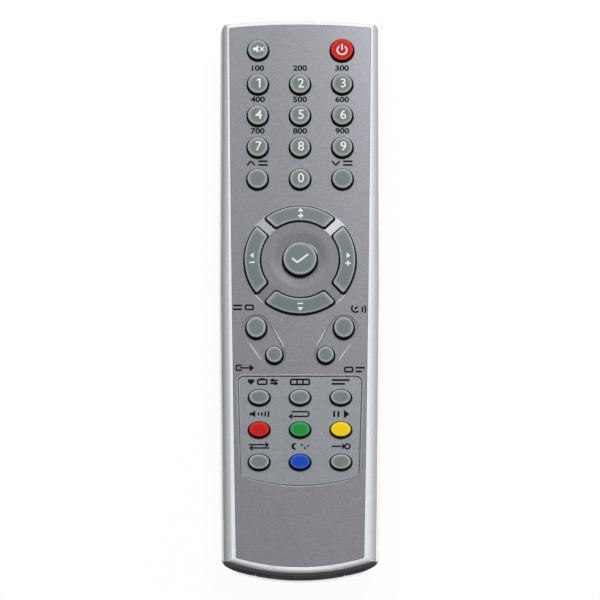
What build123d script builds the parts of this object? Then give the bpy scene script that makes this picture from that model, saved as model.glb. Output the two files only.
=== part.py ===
"""A hand-held infrared remote control for a satellite television receiver.

The handset lies on its back: +Z is up through the keys, +Y runs along the body to the infrared
end, and +X is the user's right. The origin is on the resting plane, under the middle of the body.
All lengths are in millimetres.
"""
from build123d import *
from math import sqrt
import os

# ---- Body, seen from above ----
BODY_LENGTH = 192.0
IR_HALF_WIDTH = 27.6  # half width at the infrared end
MID_HALF_WIDTH = 27.35
HAND_HALF_WIDTH = 26.1  # half width at the end held in the palm
MID_Y = 2.0  # where the sides are widest
IR_END_RADIUS = 250.0
HAND_END_RADIUS = 76.0
BODY_CORNER = 2.0
END_Y = BODY_LENGTH / 2

# ---- Cells, which set the height of everything above them ----
WALL = 1.8
CELL_RADIUS = 5.2
CELL_LENGTH = 43.4
CELL_NUB_RADIUS = 1.9
CELL_NUB = 0.9
CELL_PITCH = 11.2
CELL_LIFT = 0.2  # between a cell and the door
DOOR_THICK = 1.6
BAY_SKIN = 1.0
CELL_Z = DOOR_THICK + CELL_LIFT + CELL_RADIUS
BAY_TOP_Z = CELL_Z + CELL_RADIUS + 2 * CELL_LIFT

# ---- Keypad stack, from the board up ----
BOARD_LIFT = 1.05  # between the battery bay and the board
BOARD_THICK = 1.2
MAT_THICK = 1.0
KEY_TRAVEL = 1.0
TRAVEL_SPARE = 0.05  # left under a key that is fully pressed
FLANGE = 0.65  # how far a key's foot is wider than its cap
FLANGE_HEIGHT = 0.9
FOOT_CORNER = 0.293  # share of a foot's width that its cut corners take
MAT_CLEARANCE = 0.25
MAT_BEAD = 1.2
PANEL_THICK = 2.2
BOARD_LOW_Z = BAY_TOP_Z + BAY_SKIN + BOARD_LIFT
BOARD_TOP_Z = BOARD_LOW_Z + BOARD_THICK
MAT_TOP_Z = BOARD_TOP_Z + MAT_THICK
KEY_FOOT_Z = BOARD_TOP_Z + KEY_TRAVEL + TRAVEL_SPARE
PANEL_BOTTOM_Z = KEY_FOOT_Z + FLANGE_HEIGHT

# ---- Body, seen from the side ----
FACE_Z = PANEL_BOTTOM_Z + PANEL_THICK  # top of the body
PARTING_Z = 0.55 * FACE_Z  # joint between the lower and the upper case
SHOULDER_Z = PARTING_Z + 3.0  # where the side rails end in a narrow ledge
END_ROUND = 1.5
END_LAND = 0.3  # level strip between the rounded ends and the face panel

# ---- Side rails of the upper case: infrared end, middle, palm end ----
RAIL_LAND = (0.7, 0.95, 1.35)  # level strip beside the face panel
RAIL_LEDGE = (0.5, 0.6, 1.0)  # ledge at the foot of the slope

# ---- Underside of the lower case ----
BASE_INSET = 6.0  # how far the sides draw in from the parting line to the base
BELLY_LEDGE = 0.05  # how far the lower case stands back under the upper case
LIP_WIDTH = 0.9
LIP_ROOT = 1.5
LIP_RISE = 1.2

# ---- Face panel ----
PANEL_IR_HALF = IR_HALF_WIDTH - 3.2
PANEL_MID_HALF = MID_HALF_WIDTH - 4.35
PANEL_HAND_HALF = HAND_HALF_WIDTH - 5.05
PANEL_END_Y = END_Y - END_ROUND - END_LAND
PANEL_CORNER = 0.6
PANEL_STEP = 1.0  # depth of the part of the panel that shows in the bezel
PANEL_RIM = 0.7  # rim that hooks under the bezel
PANEL_GAP = 0.08
KEY_CLEARANCE = 0.4  # between a key and its hole in the panel
RIM_TOP_Z = FACE_Z - PANEL_STEP

# ---- Keys ----
KEY_RISE = 1.5  # how far a cap stands out of the face
KEY_BEVEL = 0.4
NUMBER_CAP = 7.1
POWER_CAP = 7.9
MENU_CAP = (6.8, 7.3)
EXIT_CAP = 5.7
FUNCTION_CAP = (6.95, 5.2)
OK_CAP = 11.5
OK_RISE = 1.4
TOP_ROW_Y = END_Y - 11.3
NUMBER_PITCH_X = 14.45
NUMBER_PITCH_Y = 11.3
FIRST_NUMBER_Y = TOP_ROW_Y - 12.3
LAST_NUMBER_Y = FIRST_NUMBER_Y - 3 * NUMBER_PITCH_Y

# ---- Direction ring ----
RING_Y = LAST_NUMBER_Y - 28.4
RING_OUTER = 18.85
RING_INNER = 13.45
RING_GAP = 3.7  # between neighbouring ring keys
RING_KEY_CORNER = 0.8
RING_RISE = 1.3  # how far the outer edge of a ring key stands out
RING_INNER_RISE = 2.0  # and its inner edge, as its top is part of a cone
MOUND_HEIGHT = 1.2
MOUND_MARGIN = 0.2  # how far the mound reaches past the holes of the ring keys
DISH_RADIUS = 10.2
DISH_DEPTH = 0.8
MOUND_TOP_Z = FACE_Z + MOUND_HEIGHT
DISH_FLOOR_Z = MOUND_TOP_Z - DISH_DEPTH

# ---- Slanting pairs of keys under the ring, and the recesses that tie them together ----
MENU_X = 14.7
MENU_Y = RING_Y - 23.55
EXIT_X = 8.6
EXIT_Y = MENU_Y - 9.4
PAIR_DEPTH = 0.3
PAIR_MARGIN = 1.0  # how far the recess reaches past each cap

# ---- Recessed field with the nine function keys ----
SUNK_TOP_Y = EXIT_Y - 7.25
SUNK_TOP_HALF = 20.6
SUNK_LOW_HALF = 19.4
SUNK_SIDE = 33.5  # length of its straight sides
SUNK_BULGE = 3.3  # how far its lower edge curves out
SUNK_CORNER = 1.8
SUNK_DEPTH = 0.4
SUNK_SLOPE = 40.0  # slope of its edges, in degrees from upright
FUNCTION_FACE_Z = FACE_Z - SUNK_DEPTH
FUNCTION_PITCH_X = 13.6
FUNCTION_PITCH_Y = 10.95
FIRST_FUNCTION_Y = SUNK_TOP_Y - 7.2

# ---- Battery bay and door ----
BAY_HALF = CELL_PITCH / 2 + CELL_RADIUS + 1.2
BAY_HAND_Y = -END_Y + 3.8
PLATE_THICK = 0.3
WIRE = 0.5
SPRING_RADIUS = 3.2
SPRING_TURNS = 2
SPRING_LENGTH = 3.7
BAY_IR_Y = BAY_HAND_Y + 2 * PLATE_THICK + SPRING_LENGTH + CELL_LENGTH + CELL_NUB
PLATE_HAND_Y = BAY_HAND_Y + PLATE_THICK
PLATE_IR_Y = BAY_IR_Y - PLATE_THICK
PLATE_HALF = 4.6
TAIL_HALF = 1.2
DOOR_HALF = BAY_HALF + 2.8
DOOR_END_Z = PARTING_Z - 1.6
DOOR_GAP = 0.15
TONGUE = 1.0
TONGUE_LOW_Z = DOOR_THICK / 2
RAIL_BLOCK_Z = 2 * DOOR_THICK
DOOR_SLOT = DOOR_HALF + DOOR_GAP
GROOVE_HALF = DOOR_SLOT + TONGUE
RAIL_HALF = GROOVE_HALF + WALL
GRIP_Y = -END_Y + 12.0
GRIP_HALF = 7.0
GRIP_RIBS = 5
GRIP_PITCH = 2.2
GRIP_DEPTH = 0.5

# ---- Screws ----
SCREW_X = 6.8
SCREW_Y = BAY_IR_Y + 12.0
SCREW_RADIUS = 1.1
SCREW_HEAD_RADIUS = 2.0
SCREW_HEAD_HEIGHT = 1.4
SCREW_SEAT_Z = RAIL_BLOCK_Z + 1.8
SCREW_GAP = 0.05
BOSS_RADIUS = 2.3
BOSS_LOW_Z = PARTING_Z + 0.5
POST_RADIUS = 3.3
SCREW_TIP_Z = PANEL_BOTTOM_Z - 0.8
BOSSES = ((-SCREW_X, SCREW_Y), (SCREW_X, SCREW_Y))
DOOR_IR_Y = SCREW_Y + POST_RADIUS + 0.5

# ---- Infrared window and diode ----
WINDOW_HALF = 11.8
WINDOW_LOW_Z = PARTING_Z - 2.6
WINDOW_HIGH_Z = PARTING_Z + 2.8
WINDOW_FLANGE = 0.8
FLANGE_LOW_Z = WINDOW_LOW_Z - WINDOW_FLANGE
WINDOW_BACK_Y = END_Y - 3.0
FLANGE_HALF = WINDOW_HALF + WINDOW_FLANGE
LED_RADIUS = 2.5
LED_LENGTH = 8.2
LED_Z = BOARD_LOW_Z - LED_RADIUS - 0.85
LED_TIP_Y = WINDOW_BACK_Y - 0.8
LED_BACK_Y = LED_TIP_Y - LED_LENGTH
LEAD_PITCH = 2.5
LEAD_BEND = 1.0

# ---- Board and what is soldered to its underside ----
BOARD_IR_Y = END_Y - 4.0
BOARD_HAND_Y = -END_Y + 28.0
BOARD_INSET = 1.6
SUPPORT_WIDTH = 1.6
SUPPORT_LENGTH = 4.0
SUPPORT_X = 17.3
SUPPORT_YS = (RING_Y + 49.9, RING_Y - 18.1)
HAND_SUPPORT_Y = BOARD_HAND_Y + 6.0
CHIP_SIZE = (7.5, 11.0, 2.3)
CHIP_Y = RING_Y + 10.0
CHIP_LEGS = 8
LEG_PITCH = 1.27
LEG_WIDTH = 0.45
LEG_REACH = 1.4
LEG_THICK = 0.25
CRYSTAL_AT = (9.5, CHIP_Y + 24.0)
CRYSTAL_SIZE = (11.0, 4.6, 3.5)
CAPACITOR_AT = (-11.0, CHIP_Y + 38.0)
CAPACITOR_RADIUS = 3.1
CAPACITOR_LENGTH = 11.0
TRANSISTOR_AT = (9.0, LED_BACK_Y - 10.0)
TRANSISTOR_RADIUS = 2.4
TRANSISTOR_HEIGHT = 4.6
RESISTORS = 3
RESISTOR_AT = (-4.0, LED_BACK_Y - 14.0)
RESISTOR_PITCH = 4.0
RESISTOR_RADIUS = 1.1
RESISTOR_LENGTH = 6.2

CUT_SPARE = 3.0  # how far a cutting form reaches past what it cuts
QUARTER_TURN = 90.0
STANDING = (Align.CENTER, Align.CENTER, Align.MIN)
HANGING = (Align.CENTER, Align.CENTER, Align.MAX)
BACKWARD = (Align.CENTER, Align.MAX)

os.makedirs("parts", exist_ok=True)
written = []


def save(part, name):
    """Labels one finished piece and writes it as its own file."""
    part.label = name
    export_step(part, f"parts/{name}.step")
    written.append(name)


BODY_HALVES = (IR_HALF_WIDTH, MID_HALF_WIDTH, HAND_HALF_WIDTH)
PANEL_HALVES = (PANEL_IR_HALF, PANEL_MID_HALF, PANEL_HAND_HALF)
STATIONS = (END_Y + CUT_SPARE, MID_Y, -END_Y - CUT_SPARE)  # where the sections of the sides are drawn


def sagitta(radius, half_chord):
    return radius - sqrt(radius**2 - half_chord**2)


def plan_outline(halves, end_y, inset, corner):
    """The four-arc outline of the body or of something that follows it, drawn in by an inset."""
    ir_half, mid_half, hand_half = (half - inset for half in halves)
    end_y -= inset
    ir_y = end_y - sagitta(IR_END_RADIUS - END_Y + end_y, ir_half)
    hand_y = -end_y + sagitta(HAND_END_RADIUS - END_Y + end_y, hand_half)
    with BuildSketch() as sketch:
        with BuildLine():
            ThreePointArc((hand_half, hand_y), (mid_half, MID_Y), (ir_half, ir_y))
            ThreePointArc((ir_half, ir_y), (0, end_y), (-ir_half, ir_y))
            ThreePointArc((-ir_half, ir_y), (-mid_half, MID_Y), (-hand_half, hand_y))
            ThreePointArc((-hand_half, hand_y), (0, -end_y), (hand_half, hand_y))
        make_face()
        fillet(sketch.vertices(), corner)
    return sketch.sketch


def body_outline(inset):
    return plan_outline(BODY_HALVES, END_Y, inset, max(BODY_CORNER - inset, PANEL_CORNER))


def panel_outline(grow):
    return plan_outline(PANEL_HALVES, PANEL_END_Y, -grow, PANEL_CORNER)


def block(x_from, x_to, y_from, y_to, z_from, z_to):
    """A plain block given by its limits."""
    size = (x_to - x_from, y_to - y_from, z_to - z_from)
    return Pos(x_from, y_from, z_from) * Box(*size, align=Align.MIN, mode=Mode.PRIVATE)


# ---- Key outlines: each function returns the outline of a key's cap or foot, grown by an allowance ----
def oval(width, length):
    """A round or oval cap on a foot with eight sides."""

    def cap(grow):
        with BuildSketch() as sketch:
            Ellipse(width / 2 + grow, length / 2 + grow) if width != length else Circle(width / 2 + grow)
        return sketch.sketch

    def foot(grow):
        across, along = width + 2 * (FLANGE + grow), length + 2 * (FLANGE + grow)
        with BuildSketch() as sketch:
            Rectangle(across, along)
            chamfer(sketch.vertices(), FOOT_CORNER * min(across, along))
        return sketch.sketch

    return cap, foot


def ring_quarter(turn):
    """A quarter of the direction ring, with ends parallel to the diagonals, on a foot of its own shape."""

    def foot(grow, overhang=FLANGE):
        with BuildSketch() as sketch:
            Circle(RING_OUTER + overhang + grow)
            Circle(RING_INNER - overhang - grow, mode=Mode.SUBTRACT)
            corner_x = (RING_GAP / 2 - overhang - grow) * sqrt(2)
            with Locations((corner_x, 0)):
                side = 4 * RING_OUTER
                wedge = Rectangle(side, side, rotation=-QUARTER_TURN / 2, align=Align.MIN, mode=Mode.PRIVATE)
            add(wedge, mode=Mode.INTERSECT)
        return sketch.sketch.rotate(Axis.Z, turn)

    def cap(grow):
        with BuildSketch() as sketch:
            add(foot(grow, overhang=0))
            fillet(sketch.vertices(), RING_KEY_CORNER + grow)
        return sketch.sketch

    return cap, foot


RING_KEYS = ("key_volume_up", "key_channel_up", "key_volume_down", "key_channel_down")
FUNCTION_KEYS = (
    ("key_favourite", "key_guide", "key_text"),
    ("key_audio", "key_recall", "key_pause"),
    ("key_source", "key_sleep", "key_aux"),
)


def key_table():
    """Every key: name, place, outlines of cap and foot, and the height of its top."""
    keys = []

    def put(name, x, y, outlines, top_z=FACE_Z + KEY_RISE):
        keys.append((name, x, y, *outlines, top_z))

    number = oval(NUMBER_CAP, NUMBER_CAP)
    put("key_mute", -NUMBER_PITCH_X, TOP_ROW_Y, number)
    put("key_power", NUMBER_PITCH_X, TOP_ROW_Y, oval(POWER_CAP, POWER_CAP))
    for digit in range(1, 10):
        column, row = (digit - 1) % 3 - 1, (digit - 1) // 3
        put(f"key_{digit}", column * NUMBER_PITCH_X, FIRST_NUMBER_Y - row * NUMBER_PITCH_Y, number)
    for column, name in enumerate(("key_page_up", "key_0", "key_page_down")):
        put(name, (column - 1) * NUMBER_PITCH_X, LAST_NUMBER_Y, number)

    for quarter, name in enumerate(RING_KEYS):
        put(name, 0, RING_Y, ring_quarter(QUARTER_TURN * quarter), FACE_Z + RING_INNER_RISE)
    put("key_ok", 0, RING_Y, oval(OK_CAP, OK_CAP), MOUND_TOP_Z + OK_RISE)

    for side, upper, lower in ((-1, "key_menu", "key_exit"), (1, "key_satellite", "key_info")):
        put(upper, side * MENU_X, MENU_Y, oval(*MENU_CAP))
        put(lower, side * EXIT_X, EXIT_Y, oval(EXIT_CAP, EXIT_CAP))

    for row, names in enumerate(FUNCTION_KEYS):
        for column, name in enumerate(names):
            x, y = (column - 1) * FUNCTION_PITCH_X, FIRST_FUNCTION_Y - row * FUNCTION_PITCH_Y
            put(name, x, y, oval(*FUNCTION_CAP), FUNCTION_FACE_Z + KEY_RISE)
    return keys


KEYS = key_table()


def foot_field(grow):
    """The feet of all keys in one sketch."""
    with BuildSketch() as sketch:
        for _, x, y, _, foot, _ in KEYS:
            with Locations((x, y)):
                add(foot(grow))
    return sketch.sketch


# ================= Upper case: bezel frame with the two side rails =================
with BuildPart() as rails:
    for y, width, panel, land, ledge in zip(STATIONS, BODY_HALVES, PANEL_HALVES, RAIL_LAND, RAIL_LEDGE):
        crest, foot = panel + land, width - ledge
        with BuildSketch(Plane.XZ.offset(-y)):
            with BuildLine():
                slope = TangentArc((foot, SHOULDER_Z), (crest, FACE_Z), tangent=(0, 1))
                Polyline(slope @ 0, (width + CUT_SPARE, SHOULDER_Z), (width + CUT_SPARE, 0), (0, 0))
                Line((0, FACE_Z), slope @ 1)
                mirror(about=Plane.YZ)
            make_face()
    loft(ruled=True)

with BuildPart() as upper_case:
    with BuildSketch(Plane.XY.offset(PARTING_Z)):
        add(body_outline(0))
    extrude(amount=FACE_Z - PARTING_Z)
    fillet(upper_case.faces().sort_by(Axis.Z)[-1].edges(), END_ROUND)
    add(rails.part, mode=Mode.INTERSECT)
    with BuildSketch(Plane.XY.offset(PARTING_Z)):
        add(body_outline(WALL))
    extrude(amount=SHOULDER_Z - PARTING_Z, mode=Mode.SUBTRACT)
    with BuildSketch(Plane.XY.offset(SHOULDER_Z)):
        add(panel_outline(PANEL_RIM + PANEL_GAP))
    extrude(amount=RIM_TOP_Z - SHOULDER_Z, mode=Mode.SUBTRACT)
    with BuildSketch(Plane.XY.offset(RIM_TOP_Z)):
        add(panel_outline(PANEL_GAP))
    extrude(amount=PANEL_STEP * 2, mode=Mode.SUBTRACT)
    with BuildSketch(Plane.XY.offset(PARTING_Z)):
        with Locations((0, END_Y)):
            Rectangle(2 * WINDOW_HALF, 2 * (END_Y - WINDOW_BACK_Y))
    extrude(amount=WINDOW_HIGH_Z - PARTING_Z, mode=Mode.SUBTRACT)
save(upper_case.part, "upper_case")

# ================= Face panel with every key hole, the relief and the screw bosses =================
with BuildPart() as face_panel:
    with BuildSketch(Plane.XY.offset(PANEL_BOTTOM_Z)):
        add(panel_outline(PANEL_RIM))
    extrude(amount=RIM_TOP_Z - PANEL_BOTTOM_Z)
    with BuildSketch(Plane.XY.offset(RIM_TOP_Z)):
        add(panel_outline(0))
    extrude(amount=PANEL_STEP)
    # mound under the direction ring, with a soft-edged dish around its middle key
    mound_foot = RING_OUTER + KEY_CLEARANCE + MOUND_MARGIN
    with BuildSketch(Plane.XZ.offset(-RING_Y)):
        with BuildLine():
            Polyline(
                (OK_CAP / 2, DISH_FLOOR_Z),
                (0, DISH_FLOOR_Z),
                (0, RIM_TOP_Z),
                (mound_foot, RIM_TOP_Z),
                (mound_foot, FACE_Z),
                (RING_INNER - KEY_CLEARANCE, MOUND_TOP_Z),
                (DISH_RADIUS, MOUND_TOP_Z),
            )
            bend = ((OK_CAP / 2 + DISH_RADIUS) / 2, (DISH_FLOOR_Z + MOUND_TOP_Z) / 2)
            TangentArc((OK_CAP / 2, DISH_FLOOR_Z), bend, tangent=(1, 0))
            TangentArc((DISH_RADIUS, MOUND_TOP_Z), bend, tangent=(-1, 0))
        make_face()
    revolve(axis=Axis((0, RING_Y, 0), (0, 0, 1)))
    # recessed field around the nine function keys, with sloping edges
    with BuildSketch(Plane.XY.offset(FUNCTION_FACE_Z)) as sunk_field:
        low_y = SUNK_TOP_Y - SUNK_SIDE
        with BuildLine():
            Polyline(
                (-SUNK_LOW_HALF, low_y),
                (-SUNK_TOP_HALF, SUNK_TOP_Y),
                (SUNK_TOP_HALF, SUNK_TOP_Y),
                (SUNK_LOW_HALF, low_y),
            )
            ThreePointArc((SUNK_LOW_HALF, low_y), (0, low_y - SUNK_BULGE), (-SUNK_LOW_HALF, low_y))
        make_face()
        fillet(sunk_field.vertices(), SUNK_CORNER)
    extrude(amount=SUNK_DEPTH, taper=-SUNK_SLOPE, mode=Mode.SUBTRACT)
    # recesses that tie the two keys of each slanting pair together
    for side in (-1, 1):
        with BuildSketch(Plane.XY.offset(FACE_Z - PAIR_DEPTH)):
            with Locations((side * MENU_X, MENU_Y)):
                Circle(MENU_CAP[1] / 2 + PAIR_MARGIN)
            with Locations((side * EXIT_X, EXIT_Y)):
                Circle(EXIT_CAP / 2 + PAIR_MARGIN)
            make_hull()
        extrude(amount=PAIR_DEPTH, mode=Mode.SUBTRACT)
    with BuildSketch(Plane.XY.offset(PANEL_BOTTOM_Z)):
        for _, x, y, cap, _, _ in KEYS:
            with Locations((x, y)):
                add(cap(KEY_CLEARANCE))
    extrude(amount=PANEL_THICK + MOUND_HEIGHT, mode=Mode.SUBTRACT)
    with BuildSketch(Plane.XY.offset(BOSS_LOW_Z)):
        with Locations(BOSSES):
            Circle(BOSS_RADIUS)
            Circle(SCREW_RADIUS + SCREW_GAP, mode=Mode.SUBTRACT)
    extrude(amount=PANEL_BOTTOM_Z - BOSS_LOW_Z)
save(face_panel.part, "face_panel")

# ================= Keys: a cap on a foot that the panel holds back =================
with BuildPart() as ring_tops:
    with BuildSketch(Plane.XZ.offset(-RING_Y)):
        with BuildLine():
            Polyline(
                (RING_INNER - 2 * FLANGE, 0),
                (RING_OUTER + 2 * FLANGE, 0),
                (RING_OUTER + 2 * FLANGE, FACE_Z),
                (RING_OUTER, FACE_Z + RING_RISE),
                (RING_INNER, FACE_Z + RING_INNER_RISE),
                (RING_INNER - 2 * FLANGE, FACE_Z),
                close=True,
            )
        make_face()
    revolve(axis=Axis((0, RING_Y, 0), (0, 0, 1)))

for name, x, y, cap, foot, top_z in KEYS:
    with BuildPart() as key:
        with BuildSketch(Plane.XY.offset(KEY_FOOT_Z)):
            with Locations((x, y)):
                add(cap(0))
        extrude(amount=top_z - KEY_FOOT_Z)
        if name in RING_KEYS:
            add(ring_tops.part, mode=Mode.INTERSECT)
        chamfer(key.faces().sort_by(Axis.Z)[-1].edges(), KEY_BEVEL)
        with BuildSketch(Plane.XY.offset(KEY_FOOT_Z)):
            with Locations((x, y)):
                add(foot(0))
        extrude(amount=FLANGE_HEIGHT)
    save(key.part, name)

# ================= Silicone mat: base sheet with a well for each key, and an edge bead =================
with BuildPart() as keypad_mat:
    with BuildSketch(Plane.XY.offset(BOARD_TOP_Z)) as mat_outline:
        add(panel_outline(-PANEL_RIM))
        with Locations((0, (BOARD_IR_Y + BOARD_HAND_Y) / 2)):
            Rectangle(2 * MID_HALF_WIDTH, BOARD_IR_Y - BOARD_HAND_Y, mode=Mode.INTERSECT)
    extrude(amount=PANEL_BOTTOM_Z - BOARD_TOP_Z)
    with BuildSketch(Plane.XY.offset(MAT_TOP_Z)):
        add(mat_outline.sketch.moved(Location((0, 0, -BOARD_TOP_Z))))
        offset(amount=-MAT_BEAD, kind=Kind.INTERSECTION)
    extrude(amount=PANEL_BOTTOM_Z - MAT_TOP_Z, mode=Mode.SUBTRACT)
    with BuildSketch(Plane.XY.offset(BOARD_TOP_Z)):
        add(foot_field(MAT_CLEARANCE))
        with Locations(BOSSES):
            Circle(BOSS_RADIUS + MAT_CLEARANCE)
    extrude(amount=PANEL_BOTTOM_Z - BOARD_TOP_Z, mode=Mode.SUBTRACT)
save(keypad_mat.part, "keypad_mat")

# ================= Circuit board =================
with BuildPart() as circuit_board:
    with BuildSketch(Plane.XY.offset(BOARD_LOW_Z)):
        add(panel_outline(-BOARD_INSET))
        with Locations((0, (BOARD_IR_Y + BOARD_HAND_Y) / 2)):
            Rectangle(2 * MID_HALF_WIDTH, BOARD_IR_Y - BOARD_HAND_Y, mode=Mode.INTERSECT)
        with Locations(BOSSES):
            Circle(BOSS_RADIUS + MAT_CLEARANCE, mode=Mode.SUBTRACT)
    extrude(amount=BOARD_THICK)
save(circuit_board.part, "circuit_board")

# ================= Lower case: a belly that draws in to the base, with the battery bay =================
def belly(inset):
    """The form under the parting line, shrunk all round by an inset; its sides curve in to the base."""
    with BuildPart() as form:
        with BuildSketch(Plane.XY.offset(inset)):
            add(body_outline(inset))
        extrude(amount=PARTING_Z - inset)
        if inset == 0:
            fillet(form.faces().sort_by(Axis.Z)[0].edges(), END_ROUND)
        with BuildPart(mode=Mode.INTERSECT):
            for y, width in zip(STATIONS, BODY_HALVES):
                side, base = width - BELLY_LEDGE - inset, width - BASE_INSET - inset
                with BuildSketch(Plane.XZ.offset(-y)):
                    with BuildLine():
                        curve = TangentArc((side, PARTING_Z), (base, inset), tangent=(0, -1))
                        Line(curve @ 0, (0, PARTING_Z))
                        Line((0, inset), curve @ 1)
                        mirror(about=Plane.YZ)
                    make_face()
            loft(ruled=True)
    return form.part


def end_fill(inset, half, z_from, z_to, y_to):
    """The palm end of the body's own outline, cut off at y_to, between two heights."""
    with BuildPart() as fill:
        with BuildSketch(Plane.XY.offset(z_from)):
            add(body_outline(inset))
        extrude(amount=z_to - z_from)
        add(block(-half, half, -END_Y, y_to, z_from, z_to), mode=Mode.INTERSECT)
    return fill.part


outer_belly = belly(0)

with BuildPart() as lower_case:
    add(outer_belly)
    add(belly(WALL), mode=Mode.SUBTRACT)
    # lip that locates the upper case
    with BuildSketch(Plane.XY.offset(PARTING_Z - LIP_ROOT)):
        add(body_outline(WALL))
        add(body_outline(WALL + LIP_WIDTH), mode=Mode.SUBTRACT)
    extrude(amount=LIP_ROOT)
    with BuildSketch(Plane.XY.offset(PARTING_Z)):
        add(body_outline(WALL + DOOR_GAP))
        add(body_outline(WALL + LIP_WIDTH), mode=Mode.SUBTRACT)
    extrude(amount=LIP_RISE)
    # floor over the door, walls of the battery bay, screw posts and board supports
    add(block(-RAIL_HALF, RAIL_HALF, BAY_HAND_Y, DOOR_IR_Y + WALL, WALL / 2, RAIL_BLOCK_Z))
    add(end_fill(WALL + DOOR_GAP, RAIL_HALF, WALL / 2, BAY_TOP_Z + BAY_SKIN, BAY_HAND_Y))
    bay_wall = BAY_HALF + BAY_SKIN
    add(block(-bay_wall, bay_wall, BAY_HAND_Y, BAY_IR_Y + BAY_SKIN, WALL, BAY_TOP_Z + BAY_SKIN))
    with Locations([(x, y, WALL) for x, y in BOSSES]):
        Cylinder(POST_RADIUS, BOSS_LOW_Z - WALL, align=STANDING)
    with Locations([(side * SUPPORT_X, y, WALL / 2) for side in (-1, 1) for y in SUPPORT_YS]):
        Box(SUPPORT_WIDTH, SUPPORT_LENGTH, BOARD_LOW_Z - WALL / 2, align=STANDING)
    add(block(-BAY_HALF, BAY_HALF, HAND_SUPPORT_Y, HAND_SUPPORT_Y + BAY_SKIN, BAY_TOP_Z, BOARD_LOW_Z))
    # the bay itself, the place of the door with its grooves, the screw bores and the window
    add(block(-BAY_HALF, BAY_HALF, BAY_HAND_Y, BAY_IR_Y, 0, BAY_TOP_Z), mode=Mode.SUBTRACT)
    floor_z = DOOR_THICK + DOOR_GAP
    add(block(-DOOR_SLOT, DOOR_SLOT, -END_Y, DOOR_IR_Y + DOOR_GAP, 0, floor_z), mode=Mode.SUBTRACT)
    add(
        block(-GROOVE_HALF, GROOVE_HALF, -END_Y, DOOR_IR_Y + DOOR_GAP, TONGUE_LOW_Z - DOOR_GAP, floor_z),
        mode=Mode.SUBTRACT,
    )
    with BuildSketch(Plane.XY):
        with Locations((0, -END_Y)):
            Rectangle(2 * DOOR_SLOT, 2 * HAND_END_RADIUS)
        add(body_outline(DOOR_THICK + DOOR_GAP), mode=Mode.SUBTRACT)
    extrude(amount=DOOR_END_Z + DOOR_GAP, mode=Mode.SUBTRACT)
    with Locations([(x, y, 0) for x, y in BOSSES]):
        Cylinder(SCREW_RADIUS + SCREW_GAP, BOSS_LOW_Z, align=STANDING, mode=Mode.SUBTRACT)
        Cylinder(SCREW_HEAD_RADIUS + DOOR_GAP, SCREW_SEAT_Z, align=STANDING, mode=Mode.SUBTRACT)
    for x in (-CELL_PITCH / 2, CELL_PITCH / 2):
        slot = block(x - TAIL_HALF, x + TAIL_HALF, PLATE_IR_Y, BAY_IR_Y, BAY_TOP_Z, BAY_TOP_Z + BAY_SKIN)
        add(slot, mode=Mode.SUBTRACT)
    flange_slot = block(-FLANGE_HALF, FLANGE_HALF, WINDOW_BACK_Y, END_Y - WALL, FLANGE_LOW_Z, SHOULDER_Z)
    add(flange_slot, mode=Mode.SUBTRACT)
    add(block(-WINDOW_HALF, WINDOW_HALF, WINDOW_BACK_Y, END_Y, WINDOW_LOW_Z, PARTING_Z), mode=Mode.SUBTRACT)
save(lower_case.part, "lower_case")

# ================= Battery door: slides off over the palm end =================
with BuildPart() as battery_door:
    add(outer_belly)
    add(block(-DOOR_HALF, DOOR_HALF, -END_Y, DOOR_IR_Y, 0, DOOR_END_Z), mode=Mode.INTERSECT)
    with BuildSketch(Plane.XY.offset(DOOR_THICK)):
        add(body_outline(DOOR_THICK))
    extrude(amount=DOOR_END_Z, mode=Mode.SUBTRACT)
    for side in (-1, 1):
        x = side * (DOOR_HALF + TONGUE / 2 - DOOR_GAP)
        add(block(x - TONGUE / 2, x + TONGUE / 2, BAY_HAND_Y, DOOR_IR_Y, TONGUE_LOW_Z, DOOR_THICK))
    with Locations([(0, GRIP_Y + rib * GRIP_PITCH, 0) for rib in range(GRIP_RIBS)]):
        Box(2 * GRIP_HALF, GRIP_PITCH / 2, 2 * GRIP_DEPTH, mode=Mode.SUBTRACT)
save(battery_door.part, "battery_door")

# ================= Infrared window and the diode behind it =================
with BuildPart() as ir_window:
    with BuildSketch(Plane.XY.offset(WINDOW_LOW_Z)):
        add(body_outline(0))
        with Locations((0, END_Y)):
            Rectangle(2 * WINDOW_HALF, 2 * (END_Y - WINDOW_BACK_Y), mode=Mode.INTERSECT)
    extrude(amount=WINDOW_HIGH_Z - WINDOW_LOW_Z)
    with BuildSketch(Plane.XY.offset(FLANGE_LOW_Z)):
        add(body_outline(WALL))
        with Locations((0, END_Y)):
            Rectangle(2 * FLANGE_HALF, 2 * (END_Y - WINDOW_BACK_Y), mode=Mode.INTERSECT)
    extrude(amount=SHOULDER_Z - FLANGE_LOW_Z)
save(ir_window.part, "ir_window")

with BuildPart() as ir_led:
    with BuildSketch(Plane.YZ) as lens:
        with BuildLine():
            side_z = LED_Z + LED_RADIUS
            dome_y = LED_TIP_Y - LED_RADIUS
            Polyline((LED_TIP_Y, LED_Z), (LED_BACK_Y, LED_Z), (LED_BACK_Y, side_z), (dome_y, side_z))
            RadiusArc((dome_y, side_z), (LED_TIP_Y, LED_Z), LED_RADIUS)
        make_face()
    revolve(axis=Axis((0, 0, LED_Z), (0, 1, 0)))
    bend_y = LED_BACK_Y - LEAD_BEND
    for x in (-LEAD_PITCH / 2, LEAD_PITCH / 2):
        add(block(x - WIRE / 2, x + WIRE / 2, bend_y, LED_BACK_Y + WIRE, LED_Z - WIRE / 2, LED_Z + WIRE / 2))
        add(block(x - WIRE / 2, x + WIRE / 2, bend_y - WIRE, bend_y, LED_Z - WIRE / 2, BOARD_LOW_Z))
save(ir_led.part, "ir_led")

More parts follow.
